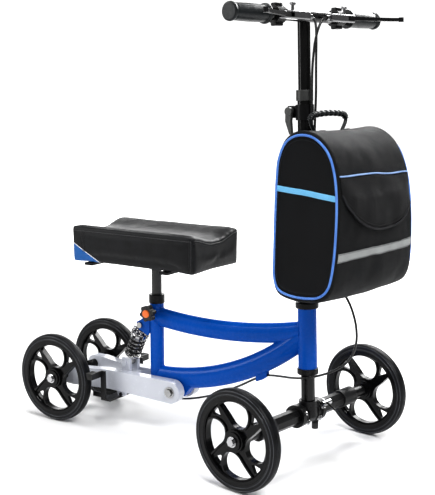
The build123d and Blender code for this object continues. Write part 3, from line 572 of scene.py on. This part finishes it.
for side, word in zip(SIDES, ("right", "left")):
    glint_line = []
    for k in range(49):
        x = pad_low.x + 0.006 + (pad_high.x - pad_low.x - 0.012) * k / 48
        glint_line.append(Vector((x, side * (pad_high.y + 0.002), pad_high.z - 0.0055)))
    glint_line = snapped(pad_tree, glint_line, SEAM_LIFT)
    tube(f"pad_side_seam_{word}", glint_line, 0.0008, seam_leather, "seat", "pad_leather", sides=8)

# --- Storage bag ----------------------------------------------------------------------------------------
# The bag from its side, in mm forward of the column's line and up along it
BAG_OUTLINE = [
    (27.5, 596), (26.5, 520), (26.5, 440), (28, 396), (38, 372), (64, 363), (98, 362), (130, 368), (151, 390),
    (160, 438), (163, 500), (162, 556), (155, 603), (141, 639), (118, 663), (92, 675), (64, 675), (43, 661),
    (31, 632),
]
BAG_MIDDLE_F, BAG_MIDDLE_H = 95.0, 520.0
BAG_BACK_F, BAG_DEPTH = 26.5, 70.0  # its back, and from its middle to its front, in mm
BAG_FOOT_H, BAG_TOP_H = 370.0, 670.0
BAG_AHEAD = 185.0  # ahead of the bag's front, so that trim is snapped on to it from there
BULGE_BELOW_H, SAG_BELOW_H, DIP_ABOVE_H = 560.0, 430.0, 640.0  # where the full bag's form changes
EDGE_ROUND = 6.0
PIPING_IN = 0.055  # share of the way from the outline to the middle
STITCHES_IN = PIPING_IN + 0.055
TOP_HALF, FOOT_HALF = 113.0, 135.0
BAG_LEFT = 2.5  # how far the full bag hangs to the left of the stem
LINE_H, BAND_H = 597.0, 448.0  # where the front piping and the silver band hold the cloth taut
BACK_CORNER = 11.0  # how far the back's sides reach behind its middle
nylon = nylon_material("bag_nylon", (0.0065, 0.007, 0.008), (0.003, 0.003, 0.0035), sheen=0.01)
flap_nylon = nylon_material("flap_nylon", (0.011, 0.011, 0.012), (0.006, 0.006, 0.0065), sheen=0.01)
piping_blue = nylon_material("piping_blue", (0.13, 0.29, 0.72), (0.08, 0.20, 0.60), 0.0009, 0.42)
strip_blue = nylon_material("strip_blue", (0.20, 0.52, 0.80), (0.14, 0.44, 0.72), 0.0012, 0.5)
band_silver = nylon_material("band_silver", (0.34, 0.35, 0.35), (0.25, 0.26, 0.26), 0.0014, 0.35)
piping_pale = nylon_material("piping_pale", (0.30, 0.45, 0.74), (0.22, 0.36, 0.66), 0.0009, 0.42)
binding_black = nylon_material("binding_black", (0.022, 0.022, 0.025), (0.012, 0.012, 0.014), 0.0013, 0.7)


def bag_half_width(h):
    """Half the bag's width at a height, in mm: it is broader at the foot."""
    share = min(1.0, max(0.0, (h - BAG_FOOT_H) / (BAG_TOP_H - BAG_FOOT_H)))
    return FOOT_HALF + (TOP_HALF - FOOT_HALF) * share


def back_reach(f, share):
    """How far a point of the bag's back lies behind the outline: its sides wrap towards the stem."""
    backward = max(0.0, (BAG_MIDDLE_F - f) / (BAG_MIDDLE_F - BAG_BACK_F))
    return BACK_CORNER * share**2 * backward**1.5


def bag_point(f, share, h):
    """A point of the bag's front, top, back or bottom, between its right (-1) and left (1) piping."""
    middle = 1 - share * share
    out_f = (f - BAG_MIDDLE_F) / BAG_DEPTH
    bulge = 5.0 * middle * max(0.0, out_f) * (1.4 if h < BULGE_BELOW_H else 0.6)
    sag = -4.0 * middle * max(0.0, (SAG_BELOW_H - h) / 60.0)
    top_dip = -3.5 * middle * max(0.0, (h - DIP_ABOVE_H) / 32.0)
    spot = Vector((f * 0.018, share * 2.1, h * 0.012))
    crease = 3.2 * noise.noise(spot * 1.4) + 1.1 * noise.noise(spot * 3.1)
    for taut in (LINE_H, BAND_H):
        crease *= 1 - 0.7 * math.exp(-((h - taut) / 16.0) ** 2)
    ridge = 1.4 * math.sin(h * 0.045 + share * 3.0) * middle * max(0.0, out_f)
    half = bag_half_width(h)
    near_edge = max(0.0, 1 - (half - abs(share) * half) / EDGE_ROUND)
    inset = 1 - EDGE_ROUND * 0.7 * near_edge**2 / math.hypot(f - BAG_MIDDLE_F, h - BAG_MIDDLE_H)
    f, h = BAG_MIDDLE_F + (f - BAG_MIDDLE_F) * inset, BAG_MIDDLE_H + (h - BAG_MIDDLE_H) * inset
    f += bulge + (crease + ridge) * max(0.25, out_f) - back_reach(f, share)
    droop = 2.6 * noise.noise(Vector((share * 1.6, 4.0, 0.0))) * max(0.0, (420.0 - h) / 50.0)
    return steered(f, BAG_LEFT + share * half, h + sag + top_dip + droop)


def bag_wrap():
    """The bag's long panel, which runs round its front, top, back and bottom."""
    loop = smooth_path([(f, 0, h) for f, h in BAG_OUTLINE], closed=True, steps=6)
    across = 44
    verts = []
    for j in range(across + 1):
        share = math.sin(math.pi / 2 * (2 * j / across - 1))
        for p in loop:
            verts.append(bag_point(p.x, share, p.z))
    count = len(loop)
    faces = []
    for j in range(across):
        for i in range(count):
            a, b = j * count + i, j * count + (i + 1) % count
            faces.append((a, b, b + count, a + count))
    return loop, verts, faces, count, across


def bag_side_panels(loop, verts, faces, count, across):
    """Add the two side panels, pulled in a little between their piped edges."""
    centre = (BAG_MIDDLE_F, BAG_MIDDLE_H)
    rings = 12
    for j, side in ((0, -1), (across, 1)):
        previous = [j * count + i for i in range(count)]
        for ring in range(1, rings):
            share = PIPING_IN + (1 - PIPING_IN) * (ring - 1) / (rings - 1)
            ease = math.sin(share * math.pi / 2)
            current = []
            for p in loop:
                f = p.x + (centre[0] - p.x) * share
                h = p.z + (centre[1] - p.z) * share
                dent = 3.4 * ease + 1.8 * noise.noise(Vector((f * 0.02, side * 3.0, h * 0.012)))
                current.append(len(verts))
                left = BAG_LEFT + side * (bag_half_width(h) - dent * ease)
                verts.append(steered(f - back_reach(f, 1), left, h))
            for i in range(count):
                k = (i + 1) % count
                faces.append((previous[i], previous[k], current[k], current[i]))
            previous = current
        hub = len(verts)
        verts.append(steered(centre[0], BAG_LEFT + side * (bag_half_width(centre[1]) - 3.4), centre[1]))
        for i in range(count):
            faces.append((previous[i], previous[(i + 1) % count], hub))


bag_loop, bag_verts, bag_faces, bag_count, bag_across = bag_wrap()
bag_side_panels(bag_loop, bag_verts, bag_faces, bag_count, bag_across)
bag = mesh_object("storage_bag_shell", bag_verts, bag_faces, nylon, "stem", "bag_fabric")
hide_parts("storage_bag")
bag_tree = surface_of(bag)


def bag_normal(point):
    """The bag's outward direction at the nearest point of its surface."""
    return bag_tree.find_nearest(point)[1]


for side, word in zip(SIDES, ("right", "left")):
    edge, inner_row = [], []
    for p in bag_loop:
        for row, share, out in ((edge, PIPING_IN, 0.6), (inner_row, STITCHES_IN, 2.0)):
            f = p.x + (BAG_MIDDLE_F - p.x) * share
            h = p.z + (BAG_MIDDLE_H - p.z) * share
            row.append(steered(f - back_reach(f, 1), BAG_LEFT + side * (bag_half_width(h) + out), h))
    tube(f"bag_piping_{word}", edge, 0.0023, piping_blue, "stem", "bag_fabric", closed=True, sides=12)
    inner_row = snapped(bag_tree, inner_row)
    stitching(f"bag_side_stitches_{word}", inner_row, bag_normal, thread_black, "stem", "bag_fabric", 0.005)


def ribbon(name, centre_line, tall, thick, mat, direction, lift=0.0004):
    """A flat strip sewn on the bag: follows the surface, with its own thickness and rounded long edges."""
    rows = 7
    verts = []
    for p in centre_line:
        for k in range(rows):
            offset = direction * (tall * (k / (rows - 1) - 0.5))
            place, normal, _, _ = bag_tree.find_nearest(p + offset)
            edge = 0.2 if k in (0, rows - 1) else 1.0
            verts.append(place + normal * (lift + thick * edge))
    faces = []
    for i in range(len(centre_line) - 1):
        for k in range(rows - 1):
            a = i * rows + k
            faces.append((a, a + 1, a + 1 + rows, a + rows))
    return mesh_object(name, verts, faces, mat, "stem", "bag_fabric")


def front_line(h, spread_to=1.0, count=61, fall=0.0):
    """Points ahead of the bag's front near one height, from its right to its left, falling by that much."""
    glint_line = []
    for k in range(count):
        share = 2 * k / (count - 1) - 1
        left = BAG_LEFT + bag_half_width(h) * spread_to * share
        glint_line.append(steered(BAG_AHEAD, left, h - fall * share / 2))
    return glint_line


STRIP_H, STRIP_TALL, STRIP_TILT = 564.0, 0.0108, 16.0
STRIP_BACK_F, STRIP_FRONT_F, STRIP_STEPS = 17.0, 160.0, 30
STRIP_AIM = 142.0  # outside the bag's side, so that the strip is snapped on to it from there
for side, word in zip(SIDES, ("right", "left")):
    glint_line = []
    for k in range(STRIP_STEPS + 1):
        share = k / STRIP_STEPS
        f = STRIP_BACK_F + (STRIP_FRONT_F - STRIP_BACK_F) * share
        glint_line.append(steered(f, side * STRIP_AIM, STRIP_H + STRIP_TILT * (0.5 - share)))
    ribbon(f"bag_strip_{word}", glint_line, STRIP_TALL, 0.0008, strip_blue, COLUMN_UP)
BAND_TALL, BAND_FALL = 0.0175, -4.0
BAND_ROW = 0.0072  # from the band's middle to a row of its stitches
ribbon("bag_band", front_line(BAND_H, 0.995, fall=BAND_FALL), BAND_TALL, 0.0006, band_silver, COLUMN_UP)
for shift in (-BAND_ROW, BAND_ROW):
    row = snapped(bag_tree, [p + COLUMN_UP * shift for p in front_line(BAND_H, 0.98, fall=BAND_FALL)], 0.0010)
    stitching(f"bag_band_stitches_{'low' if shift < 0 else 'high'}", row, bag_normal, thread_black, "stem",
              "bag_fabric", 0.0045)
LINE_FALL = 5.0
line_path = snapped(bag_tree, front_line(LINE_H, 0.97, count=9, fall=LINE_FALL), 0.0008)
tube("bag_front_piping", smooth_path(line_path), 0.0017, piping_pale, "stem", "bag_fabric", sides=10)

FLAP_MIDDLE, FLAP_HALF, FLAP_TALL = 13.0, 135.0, 104.0
FLAP_LIFT, FLAP_SWELL, FLAP_THICK = 0.0014, 0.0066, 0.0018


def flap_edge_h(left):
    """Height of the pocket flap's curved lower edge, which the bag's sides cut off short."""
    share = min(1.0, abs(left - FLAP_MIDDLE) / FLAP_HALF)
    return LINE_H - 2 - FLAP_TALL * (1 - share**2.6) ** 0.65


def pocket_flap():
    """The pocket's flap: a sheet that stands off the front and rolls in at its lower edge."""
    columns, rows = 57, 15
    verts, faces, edge = [], [], []
    for i in range(columns):
        across = 2 * i / (columns - 1) - 1
        left = BAG_LEFT + (bag_half_width(LINE_H) - 2.5) * across
        head, foot = LINE_H - 2 - LINE_FALL * across / 2, flap_edge_h(left)
        for j in range(rows):
            share = j / (rows - 1)
            h = head + (foot - head) * share
            place, normal, _, _ = bag_tree.find_nearest(steered(BAG_AHEAD, left, h))
            stand = FLAP_LIFT + FLAP_SWELL * math.sin(share * math.pi * 0.60) * (1 - abs(across) ** 5)
            stand += 0.0007 * noise.noise(Vector((left * 0.03, h * 0.03, 1.7)))
            verts.append(place + normal * stand)
        edge.append(verts[-1])
    for i in range(columns - 1):
        for j in range(rows - 1):
            a = i * rows + j
            faces.append((a, a + 1, a + 1 + rows, a + rows))
    flap = mesh_object("bag_flap", verts, faces, flap_nylon, "stem", "bag_fabric")
    solid = flap.modifiers.new("Solidify", "SOLIDIFY")
    solid.thickness = FLAP_THICK
    solid.offset = -1.0
    return edge


flap_edge = pocket_flap()
tube("bag_flap_binding", flap_edge, 0.0022, binding_black, "stem", "bag_fabric", sides=10)
row = [p + COLUMN_UP * 0.0065 for p in flap_edge[3:-3]]
stitching("bag_flap_stitches", [p + bag_normal(p) * 0.0008 for p in row], bag_normal, thread_black, "stem",
          "bag_fabric", 0.0045)

# Carry handle: a ribbed rubber grip on webbing that goes down into the bag's top
HANDLE_F = 51.0
handle_route = [(34, 650), (43, 668), (57, 688), (54, 699), (40, 703), (0, 705), (-40, 703), (-54, 699),
                (-57, 688), (-43, 668), (-34, 650)]
HANDLE_SHIFT = 7.0
handle_path = smooth_path([steered(HANDLE_F, left + HANDLE_SHIFT, h) for left, h in handle_route], steps=24)
GRIP_FROM, GRIP_TO, GRIP_RIBS = 0.24, 0.76, 15
GRIP_R, RIB_DEEP, PLAIN_R = 0.0063, 0.0016, 0.0036


def handle_radius(share):
    """The grip's ribs between plain ends."""
    if GRIP_FROM < share < GRIP_TO:
        rib = math.cos((share - GRIP_FROM) / (GRIP_TO - GRIP_FROM) * 2 * math.pi * GRIP_RIBS)
        return GRIP_R - RIB_DEEP * max(0.0, -rib) ** 0.6
    return PLAIN_R


grip_black = materials["grip_rubber"]
handle = tube("bag_handle_grip", handle_path, handle_radius, grip_black, "stem", "grip_rubber", sides=16)
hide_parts("bag_handle")
for index, left in enumerate((40.0 + HANDLE_SHIFT, HANDLE_SHIFT - 40.0)):
    patch_line = [steered(HANDLE_F + 24 * k / 10 - 12, left, 690) for k in range(11)]
    ribbon(f"bag_handle_patch_{index}", patch_line, 0.022, 0.0012, binding_black, STEER_LEFT)

# Straps that hold the bag on the stem
STEM_R = 14.5
STRAP_CLEAR = 1.6  # mm from the stem to the strap's inner face
STRAP_END_F, STRAP_END_SIDE = 27.5, 24.0  # mm: where a strap meets the bag's back
STRAP_TALL, STRAP_THICK = 0.024, 0.0013
STRAP_ROWS = 5


def stem_strap(name, h):
    """A band that goes from the bag's back round the stem and returns, with its edges closed."""
    reach = STEM_R + STRAP_CLEAR
    path = [steered(STRAP_END_F, STRAP_END_SIDE, h)]
    for k in range(33):
        angle = math.pi * (0.30 + 1.40 * k / 32)
        path.append(steered(reach * math.cos(angle), reach * math.sin(angle), h))
    path.append(steered(STRAP_END_F, -STRAP_END_SIDE, h))
    verts, faces = [], []
    for p in path:
        out = (p - steered(0, 0, h)).normalized()
        for thickness in (0.0, STRAP_THICK):
            for k in range(STRAP_ROWS):
                verts.append(p + COLUMN_UP * (STRAP_TALL * (k / (STRAP_ROWS - 1) - 0.5)) + out * thickness)
    for i in range(len(path) - 1):
        for layer in (0, STRAP_ROWS):
            for k in range(STRAP_ROWS - 1):
                a = i * 2 * STRAP_ROWS + layer + k
                faces.append((a, a + 1, a + 1 + 2 * STRAP_ROWS, a + 2 * STRAP_ROWS))
        for k in (0, STRAP_ROWS - 1):
            a = i * 2 * STRAP_ROWS + k
            faces.append((a, a + STRAP_ROWS, a + 3 * STRAP_ROWS, a + 2 * STRAP_ROWS))
    mesh_object(name, verts, faces, binding_black, "stem", "bag_fabric")


for index, h in enumerate((432.0, 640.0)):
    stem_strap(f"bag_strap_{index}", h)

# --- Weld beads where the frame's tubes meet -----------------------------------------------------------
BODY_OF = {name: body for body, names in frame["record"]["behaviour"]["bodies"].items() for name in names}


def world_points(name):
    """Every vertex of a CAD node, in the scooter's own frame."""
    obj = nodes[name]
    return [obj.matrix_world @ v.co for v in obj.data.vertices]


def world_tree(name):
    """A tree of a CAD node's surface, in the scooter's own frame."""
    return BVHTree.FromPolygons(world_points(name), [tuple(p.vertices) for p in nodes[name].data.polygons])


def seam_between(tube_name, other_name, near=0.0008, bins=40):
    """The outline where one CAD tube ends against another, in order round the tube."""
    other = world_tree(other_name)
    touching = [p for p in world_points(tube_name) if other.find_nearest(p)[3] < near]
    middle = sum(touching, Vector()) / len(touching)
    outer = {}
    for p in touching:
        arm = p - middle
        number = int((math.atan2(arm.z, arm.y) + math.pi) / (2 * math.pi) * bins) % bins
        reach = math.hypot(arm.y, arm.z)
        if number not in outer or reach > outer[number][0]:
            outer[number] = (reach, p)
    return [outer[number][1] for number in sorted(outer)]


def weld(name, points):
    """A rippled weld bead along a closed seam."""
    path = resampled(smooth_path(points, closed=True) + [points[0]], 0.0011)

    def ripple(share):
        return 0.0017 + 0.0004 * math.sin(share * len(path) * 1.6)

    points_only = [p for p, _ in path]
    tube(name, points_only, ripple, materials["blue_paint"], "frame", "blue_paint", closed=True, sides=8)


weld("weld_upper_rear", seam_between("upper_frame_tube", "seat_tube"))
weld("weld_lower_rear", seam_between("lower_frame_tube", "seat_tube"))
weld("weld_upper_front", seam_between("upper_frame_tube", "head_tube"))

# --- Bolts, ribs and the small wing of the front axle's clamp ---------------------------------------------
left_hub, right_hub = (Vector(joints[name]["pos_m"]) for name in ("front_left_wheel", "front_right_wheel"))
AXLE_MIDDLE = (left_hub + right_hub) / 2
AXLE_LEFT = (left_hub - right_hub).normalized()
AXLE_FORWARD = AXLE_LEFT.cross(Vector((0, 0, 1)))


def on_axle(forward, left, up):
    """A point given in mm about the front axle's middle, as a point of the whole scooter."""
    return AXLE_MIDDLE + (AXLE_FORWARD * forward + AXLE_LEFT * left + Vector((0, 0, up))) * MM


def stud(name, place, axis, head_r, head_tall, mat, body, sides=6):
    """A bolt head on its washer, standing on a surface."""
    washer = tube_mesh([place, place + axis * 0.0012], head_r * 1.5, sides=20)
    head = tube_mesh([place + axis * 0.0010, place + axis * head_tall], head_r, sides=sides)
    crown_path = [place + axis * (head_tall + 0.0006 * k) for k in range(3)]
    crown = tube_mesh(crown_path, lambda share: head_r * (0.92 - 0.5 * share), sides=16)
    parts = joined([washer, head, crown])
    return mesh_object(name, *parts, mat, body, slot_of["axle_clamp_bolts"], smooth=False)


def directions_round(axis, count):
    """Directions at right angles to an axis, evenly spaced round it."""
    u = axis.orthogonal().normalized()
    v = axis.cross(u)
    angles = [2 * math.pi * k / count for k in range(count)]
    return [u * math.cos(angle) + v * math.sin(angle) for angle in angles]


def ring(name, middle, axis, radius, thick, mat, body, slot):
    """A thin raised ring about an axis."""
    path = [middle + out * radius for out in directions_round(axis, 64)]
    return tube(name, path, thick, mat, body, slot, closed=True, sides=8)


clamp_body = BODY_OF["front_axle_clamp"]
CLAMP_R = 0.021
STUD_REACH = 22.5  # mm from the axle's middle, so that a stud's height gives how far round it sits
for index, left in enumerate((-24.0, -15.0, 15.0, 24.0)):
    ring(f"clamp_rib_{index}", on_axle(0, left, 0), AXLE_LEFT, CLAMP_R + 0.0002, 0.0016,
         materials["satin_black"], clamp_body, "satin_black")
for index, (left, up) in enumerate(((-30.0, 9.0), (30.0, 9.0), (-19.0, -12.0), (20.0, -12.0))):
    reach = math.sqrt(STUD_REACH**2 - up**2)
    out = (AXLE_FORWARD * reach + Vector((0, 0, up))).normalized()
    stud(f"clamp_stud_{index}", on_axle(0, left, 0) + out * (CLAMP_R + 0.0005), out, 0.0042, 0.0050,
         materials["chrome"], clamp_body)
wing_foot = on_axle(0, 43.0, 0) + (AXLE_FORWARD * 0.7 + Vector((0, 0, 0.7))) * 0.0150
wing_path = []
for forward, up in ((0.0, 0.0), (0.010, 0.004), (0.022, -0.002), (0.031, -0.008)):
    wing_path.append(wing_foot + AXLE_FORWARD * forward + Vector((0, 0, up)))
stud("clamp_wing_bolt", wing_foot + Vector((0, 0, 0.0035)), Vector((0, 0, 1)), 0.0048, 0.0055,
     materials["chrome"], clamp_body)
tube("clamp_wing", smooth_path(wing_path), lambda share: 0.0048 - 0.0018 * share, materials["satin_black"],
     clamp_body, "satin_black", sides=12, flat=0.55)

# --- The shock's castellated upper perch -------------------------------------------------------------------
shock_eye = sum(world_points("shock_body"), Vector()) / len(world_points("shock_body"))
rod_middle = sum(world_points("shock_rod"), Vector()) / len(world_points("shock_rod"))
SHOCK_DOWN = (rod_middle - shock_eye).normalized()
body_along = [(p - shock_eye).dot(SHOCK_DOWN) for p in world_points("shock_body")]
SHOCK_TOP = shock_eye + SHOCK_DOWN * min(body_along)
SHOCK_SIDE = Vector((0, 1, 0))
SHOCK_BACK = SHOCK_DOWN.cross(SHOCK_SIDE)
PERCH_TOP = 0.0235  # from the top of the eye down to the teeth
TEETH, TEETH_R, TOOTH_R, TOOTH_TALL = 10, 0.0165, 0.0031, 0.0065
SLEEVE_R, SLEEVE_TALL = 0.0135, 0.0076
FINGERS, CUP_R, FINGER_R, FINGER_TALL = 8, 0.0200, 0.0046, 0.0125  # they reach down round the first coil
FINGER_TOP = PERCH_TOP + 0.008


def round_shock(angle):
    """The direction away from the shock's axis at an angle round it."""
    return SHOCK_SIDE * math.cos(angle) + SHOCK_BACK * math.sin(angle)


perch_parts = []
for k in range(TEETH):
    root = SHOCK_TOP + SHOCK_DOWN * PERCH_TOP + round_shock(2 * math.pi * k / TEETH) * TEETH_R
    perch_parts.append(tube_mesh([root, root + SHOCK_DOWN * TOOTH_TALL], TOOTH_R, sides=8))
sleeve = [SHOCK_TOP + SHOCK_DOWN * (PERCH_TOP - 0.001 + SLEEVE_TALL * k / 3) for k in range(4)]
perch_parts.append(tube_mesh(sleeve, SLEEVE_R, sides=32))
for k in range(FINGERS):
    out = round_shock(2 * math.pi * (k + 0.5) / FINGERS)
    root = SHOCK_TOP + SHOCK_DOWN * FINGER_TOP + out * CUP_R
    finger = [root, root + SHOCK_DOWN * FINGER_TALL]
    perch_parts.append(tube_mesh(finger, FINGER_R, sides=12, flat=0.18, face_out=lambda p, out=out: out))
mesh_object("shock_perch_nut", *joined(perch_parts), materials["chrome"], BODY_OF["shock_body"], "zinc")

# --- Moulding lines round the tyre walls, coloured paler than the rubber as a painted highlight ------------
# Raised moulding lines on the tyre walls; their pale bluish colour is a painted highlight along the walls, not the
# rubber's own colour.
glint_line_rubber = shaded("tyre_glint_line", (0.045, 0.048, 0.055), 0.18, 900, 0.00003, 0.2)
for wheel in ("front_left", "front_right", "rear_left", "rear_right"):
    hub = Vector(joints[f"{wheel}_wheel"]["pos_m"])
    axle = Vector(joints[f"{wheel}_wheel"]["axis"]).normalized()
    tyre_node = f"{wheel}_tyre"
    tyre_tree = world_tree(tyre_node)
    outer = max((p - hub).cross(axle).length for p in world_points(tyre_node))
    for side, word in zip(SIDES, ("a", "b")):
        for number, inset in enumerate((0.0042, 0.0105)):
            path = []
            for out in directions_round(axle, 96):
                aimed = hub + out * (outer - inset) + axle * (side * 0.03)
                hit = tyre_tree.ray_cast(aimed, axle * -side)[0]
                path.append(hit if hit else aimed)
            tube(f"{tyre_node}_line_{word}{number}", path, 0.0008, glint_line_rubber, BODY_OF[tyre_node], "tyre",
                 closed=True, sides=6)

# --- Stage, lights and camera -------------------------------------------------------------------------------
WORLD_LIGHT = 0.27
FLOOR_REACH, FLOOR_H = 8.0, -0.0005  # metres
FADE_FROM, FADE_TO = 1.3, 2.6  # metres from the middle, where the floor turns white to the camera


def make_stage():
    """A pale flat floor that fades to white away from the object, and hides it from no side."""
    corners = ((-1, -1), (1, -1), (1, 1), (-1, 1))
    verts = [(FLOOR_REACH * x, FLOOR_REACH * y, FLOOR_H) for x, y in corners]
    data = bpy.data.meshes.new("stage_floor")
    data.from_pydata(verts, [], [(0, 1, 2, 3)])
    floor = bpy.data.objects.new("stage_floor", data)
    bpy.context.scene.collection.objects.link(floor)
    mat, tree, shader, place = new_material("floor_white", Specular_IOR_Level=0.1)
    slow = noise_node(tree, place, 3, 3.0)
    hue = mix_colours(tree, slow, (0.86, 0.86, 0.86), (0.88, 0.88, 0.88))
    finish_material(tree, shader, hue, spread(tree, slow, 0.85, 0.9), slow, 0.0001)
    distance = add_node(tree, "ShaderNodeVectorMath", {0: place}, operation="LENGTH").outputs["Value"]
    fade = {"Value": distance, "From Min": FADE_FROM, "From Max": FADE_TO}
    far = add_node(tree, "ShaderNodeMapRange", fade).outputs[0]
    seen = tree.nodes.new("ShaderNodeLightPath").outputs["Is Camera Ray"]
    shader.inputs["Emission Color"].default_value = (1.0, 1.0, 1.0, 1.0)
    tree.links.new(math_node(tree, "MULTIPLY", far, seen), shader.inputs["Emission Strength"])
    data.materials.append(mat)


def soft_light(name, place, aim, size, power):
    """A rectangular studio light that the camera does not see."""
    data = bpy.data.lights.new(name, "AREA")
    data.shape = "RECTANGLE"
    data.size, data.size_y = size
    data.energy = power
    light = bpy.data.objects.new(name, data)
    light.location = place
    light.rotation_euler = (Vector(aim) - Vector(place)).to_track_quat("-Z", "Y").to_euler()
    light.visible_camera = False
    bpy.context.scene.collection.objects.link(light)


make_stage()
world = bpy.data.worlds.new("studio")
bpy.context.scene.world = world
world.use_nodes = True
sky = world.node_tree
seen = sky.nodes.new("ShaderNodeLightPath").outputs["Is Camera Ray"]
brighter_when_seen = {"Value": seen, "To Min": WORLD_LIGHT, "To Max": 1.0}
strength = add_node(sky, "ShaderNodeMapRange", brighter_when_seen).outputs[0]
sky.nodes["Background"].inputs["Color"].default_value = (1.0, 1.0, 1.0, 1.0)
sky.links.new(strength, sky.nodes["Background"].inputs["Strength"])
AIM = (0.0, 0.0, 0.4)
soft_light("key_light", (1.7, -0.9, 2.2), AIM, (0.9, 0.9), 44.0)
soft_light("side_light", (-1.9, -1.6, 1.3), AIM, (0.5, 1.6), 20.0)
soft_light("rear_light", (0.2, 2.4, 2.0), AIM, (1.6, 0.8), 60.0)
soft_light("back_light", (-1.8, 2.7, 1.1), AIM, (2.4, 1.6), 30.0)
soft_light("top_light", (-0.2, 0.0, 2.9), AIM, (1.2, 1.2), 44.0)

CAMERA_PLACE = Vector((1.19123, -1.7410, 0.7667))
CAMERA_YAW, CAMERA_PITCH = 123.39, -9.41  # degrees: heading from +X, and up
SENSOR, FOCAL = 36.0, 73.07  # mm
camera_data = bpy.data.cameras.new("camera")
camera_data.sensor_width = SENSOR
camera_data.lens = FOCAL
camera_data.clip_end = 50.0
camera = bpy.data.objects.new("camera", camera_data)
yaw, pitch = math.radians(CAMERA_YAW), math.radians(CAMERA_PITCH)
looking = Vector((math.cos(yaw) * math.cos(pitch), math.sin(yaw) * math.cos(pitch), math.sin(pitch)))
camera.location = CAMERA_PLACE
camera.rotation_euler = looking.to_track_quat("-Z", "Y").to_euler()
bpy.context.scene.collection.objects.link(camera)
bpy.context.scene.camera = camera
bpy.context.scene.view_settings.view_transform = "Standard"
bpy.context.scene.view_settings.look = "Medium High Contrast"
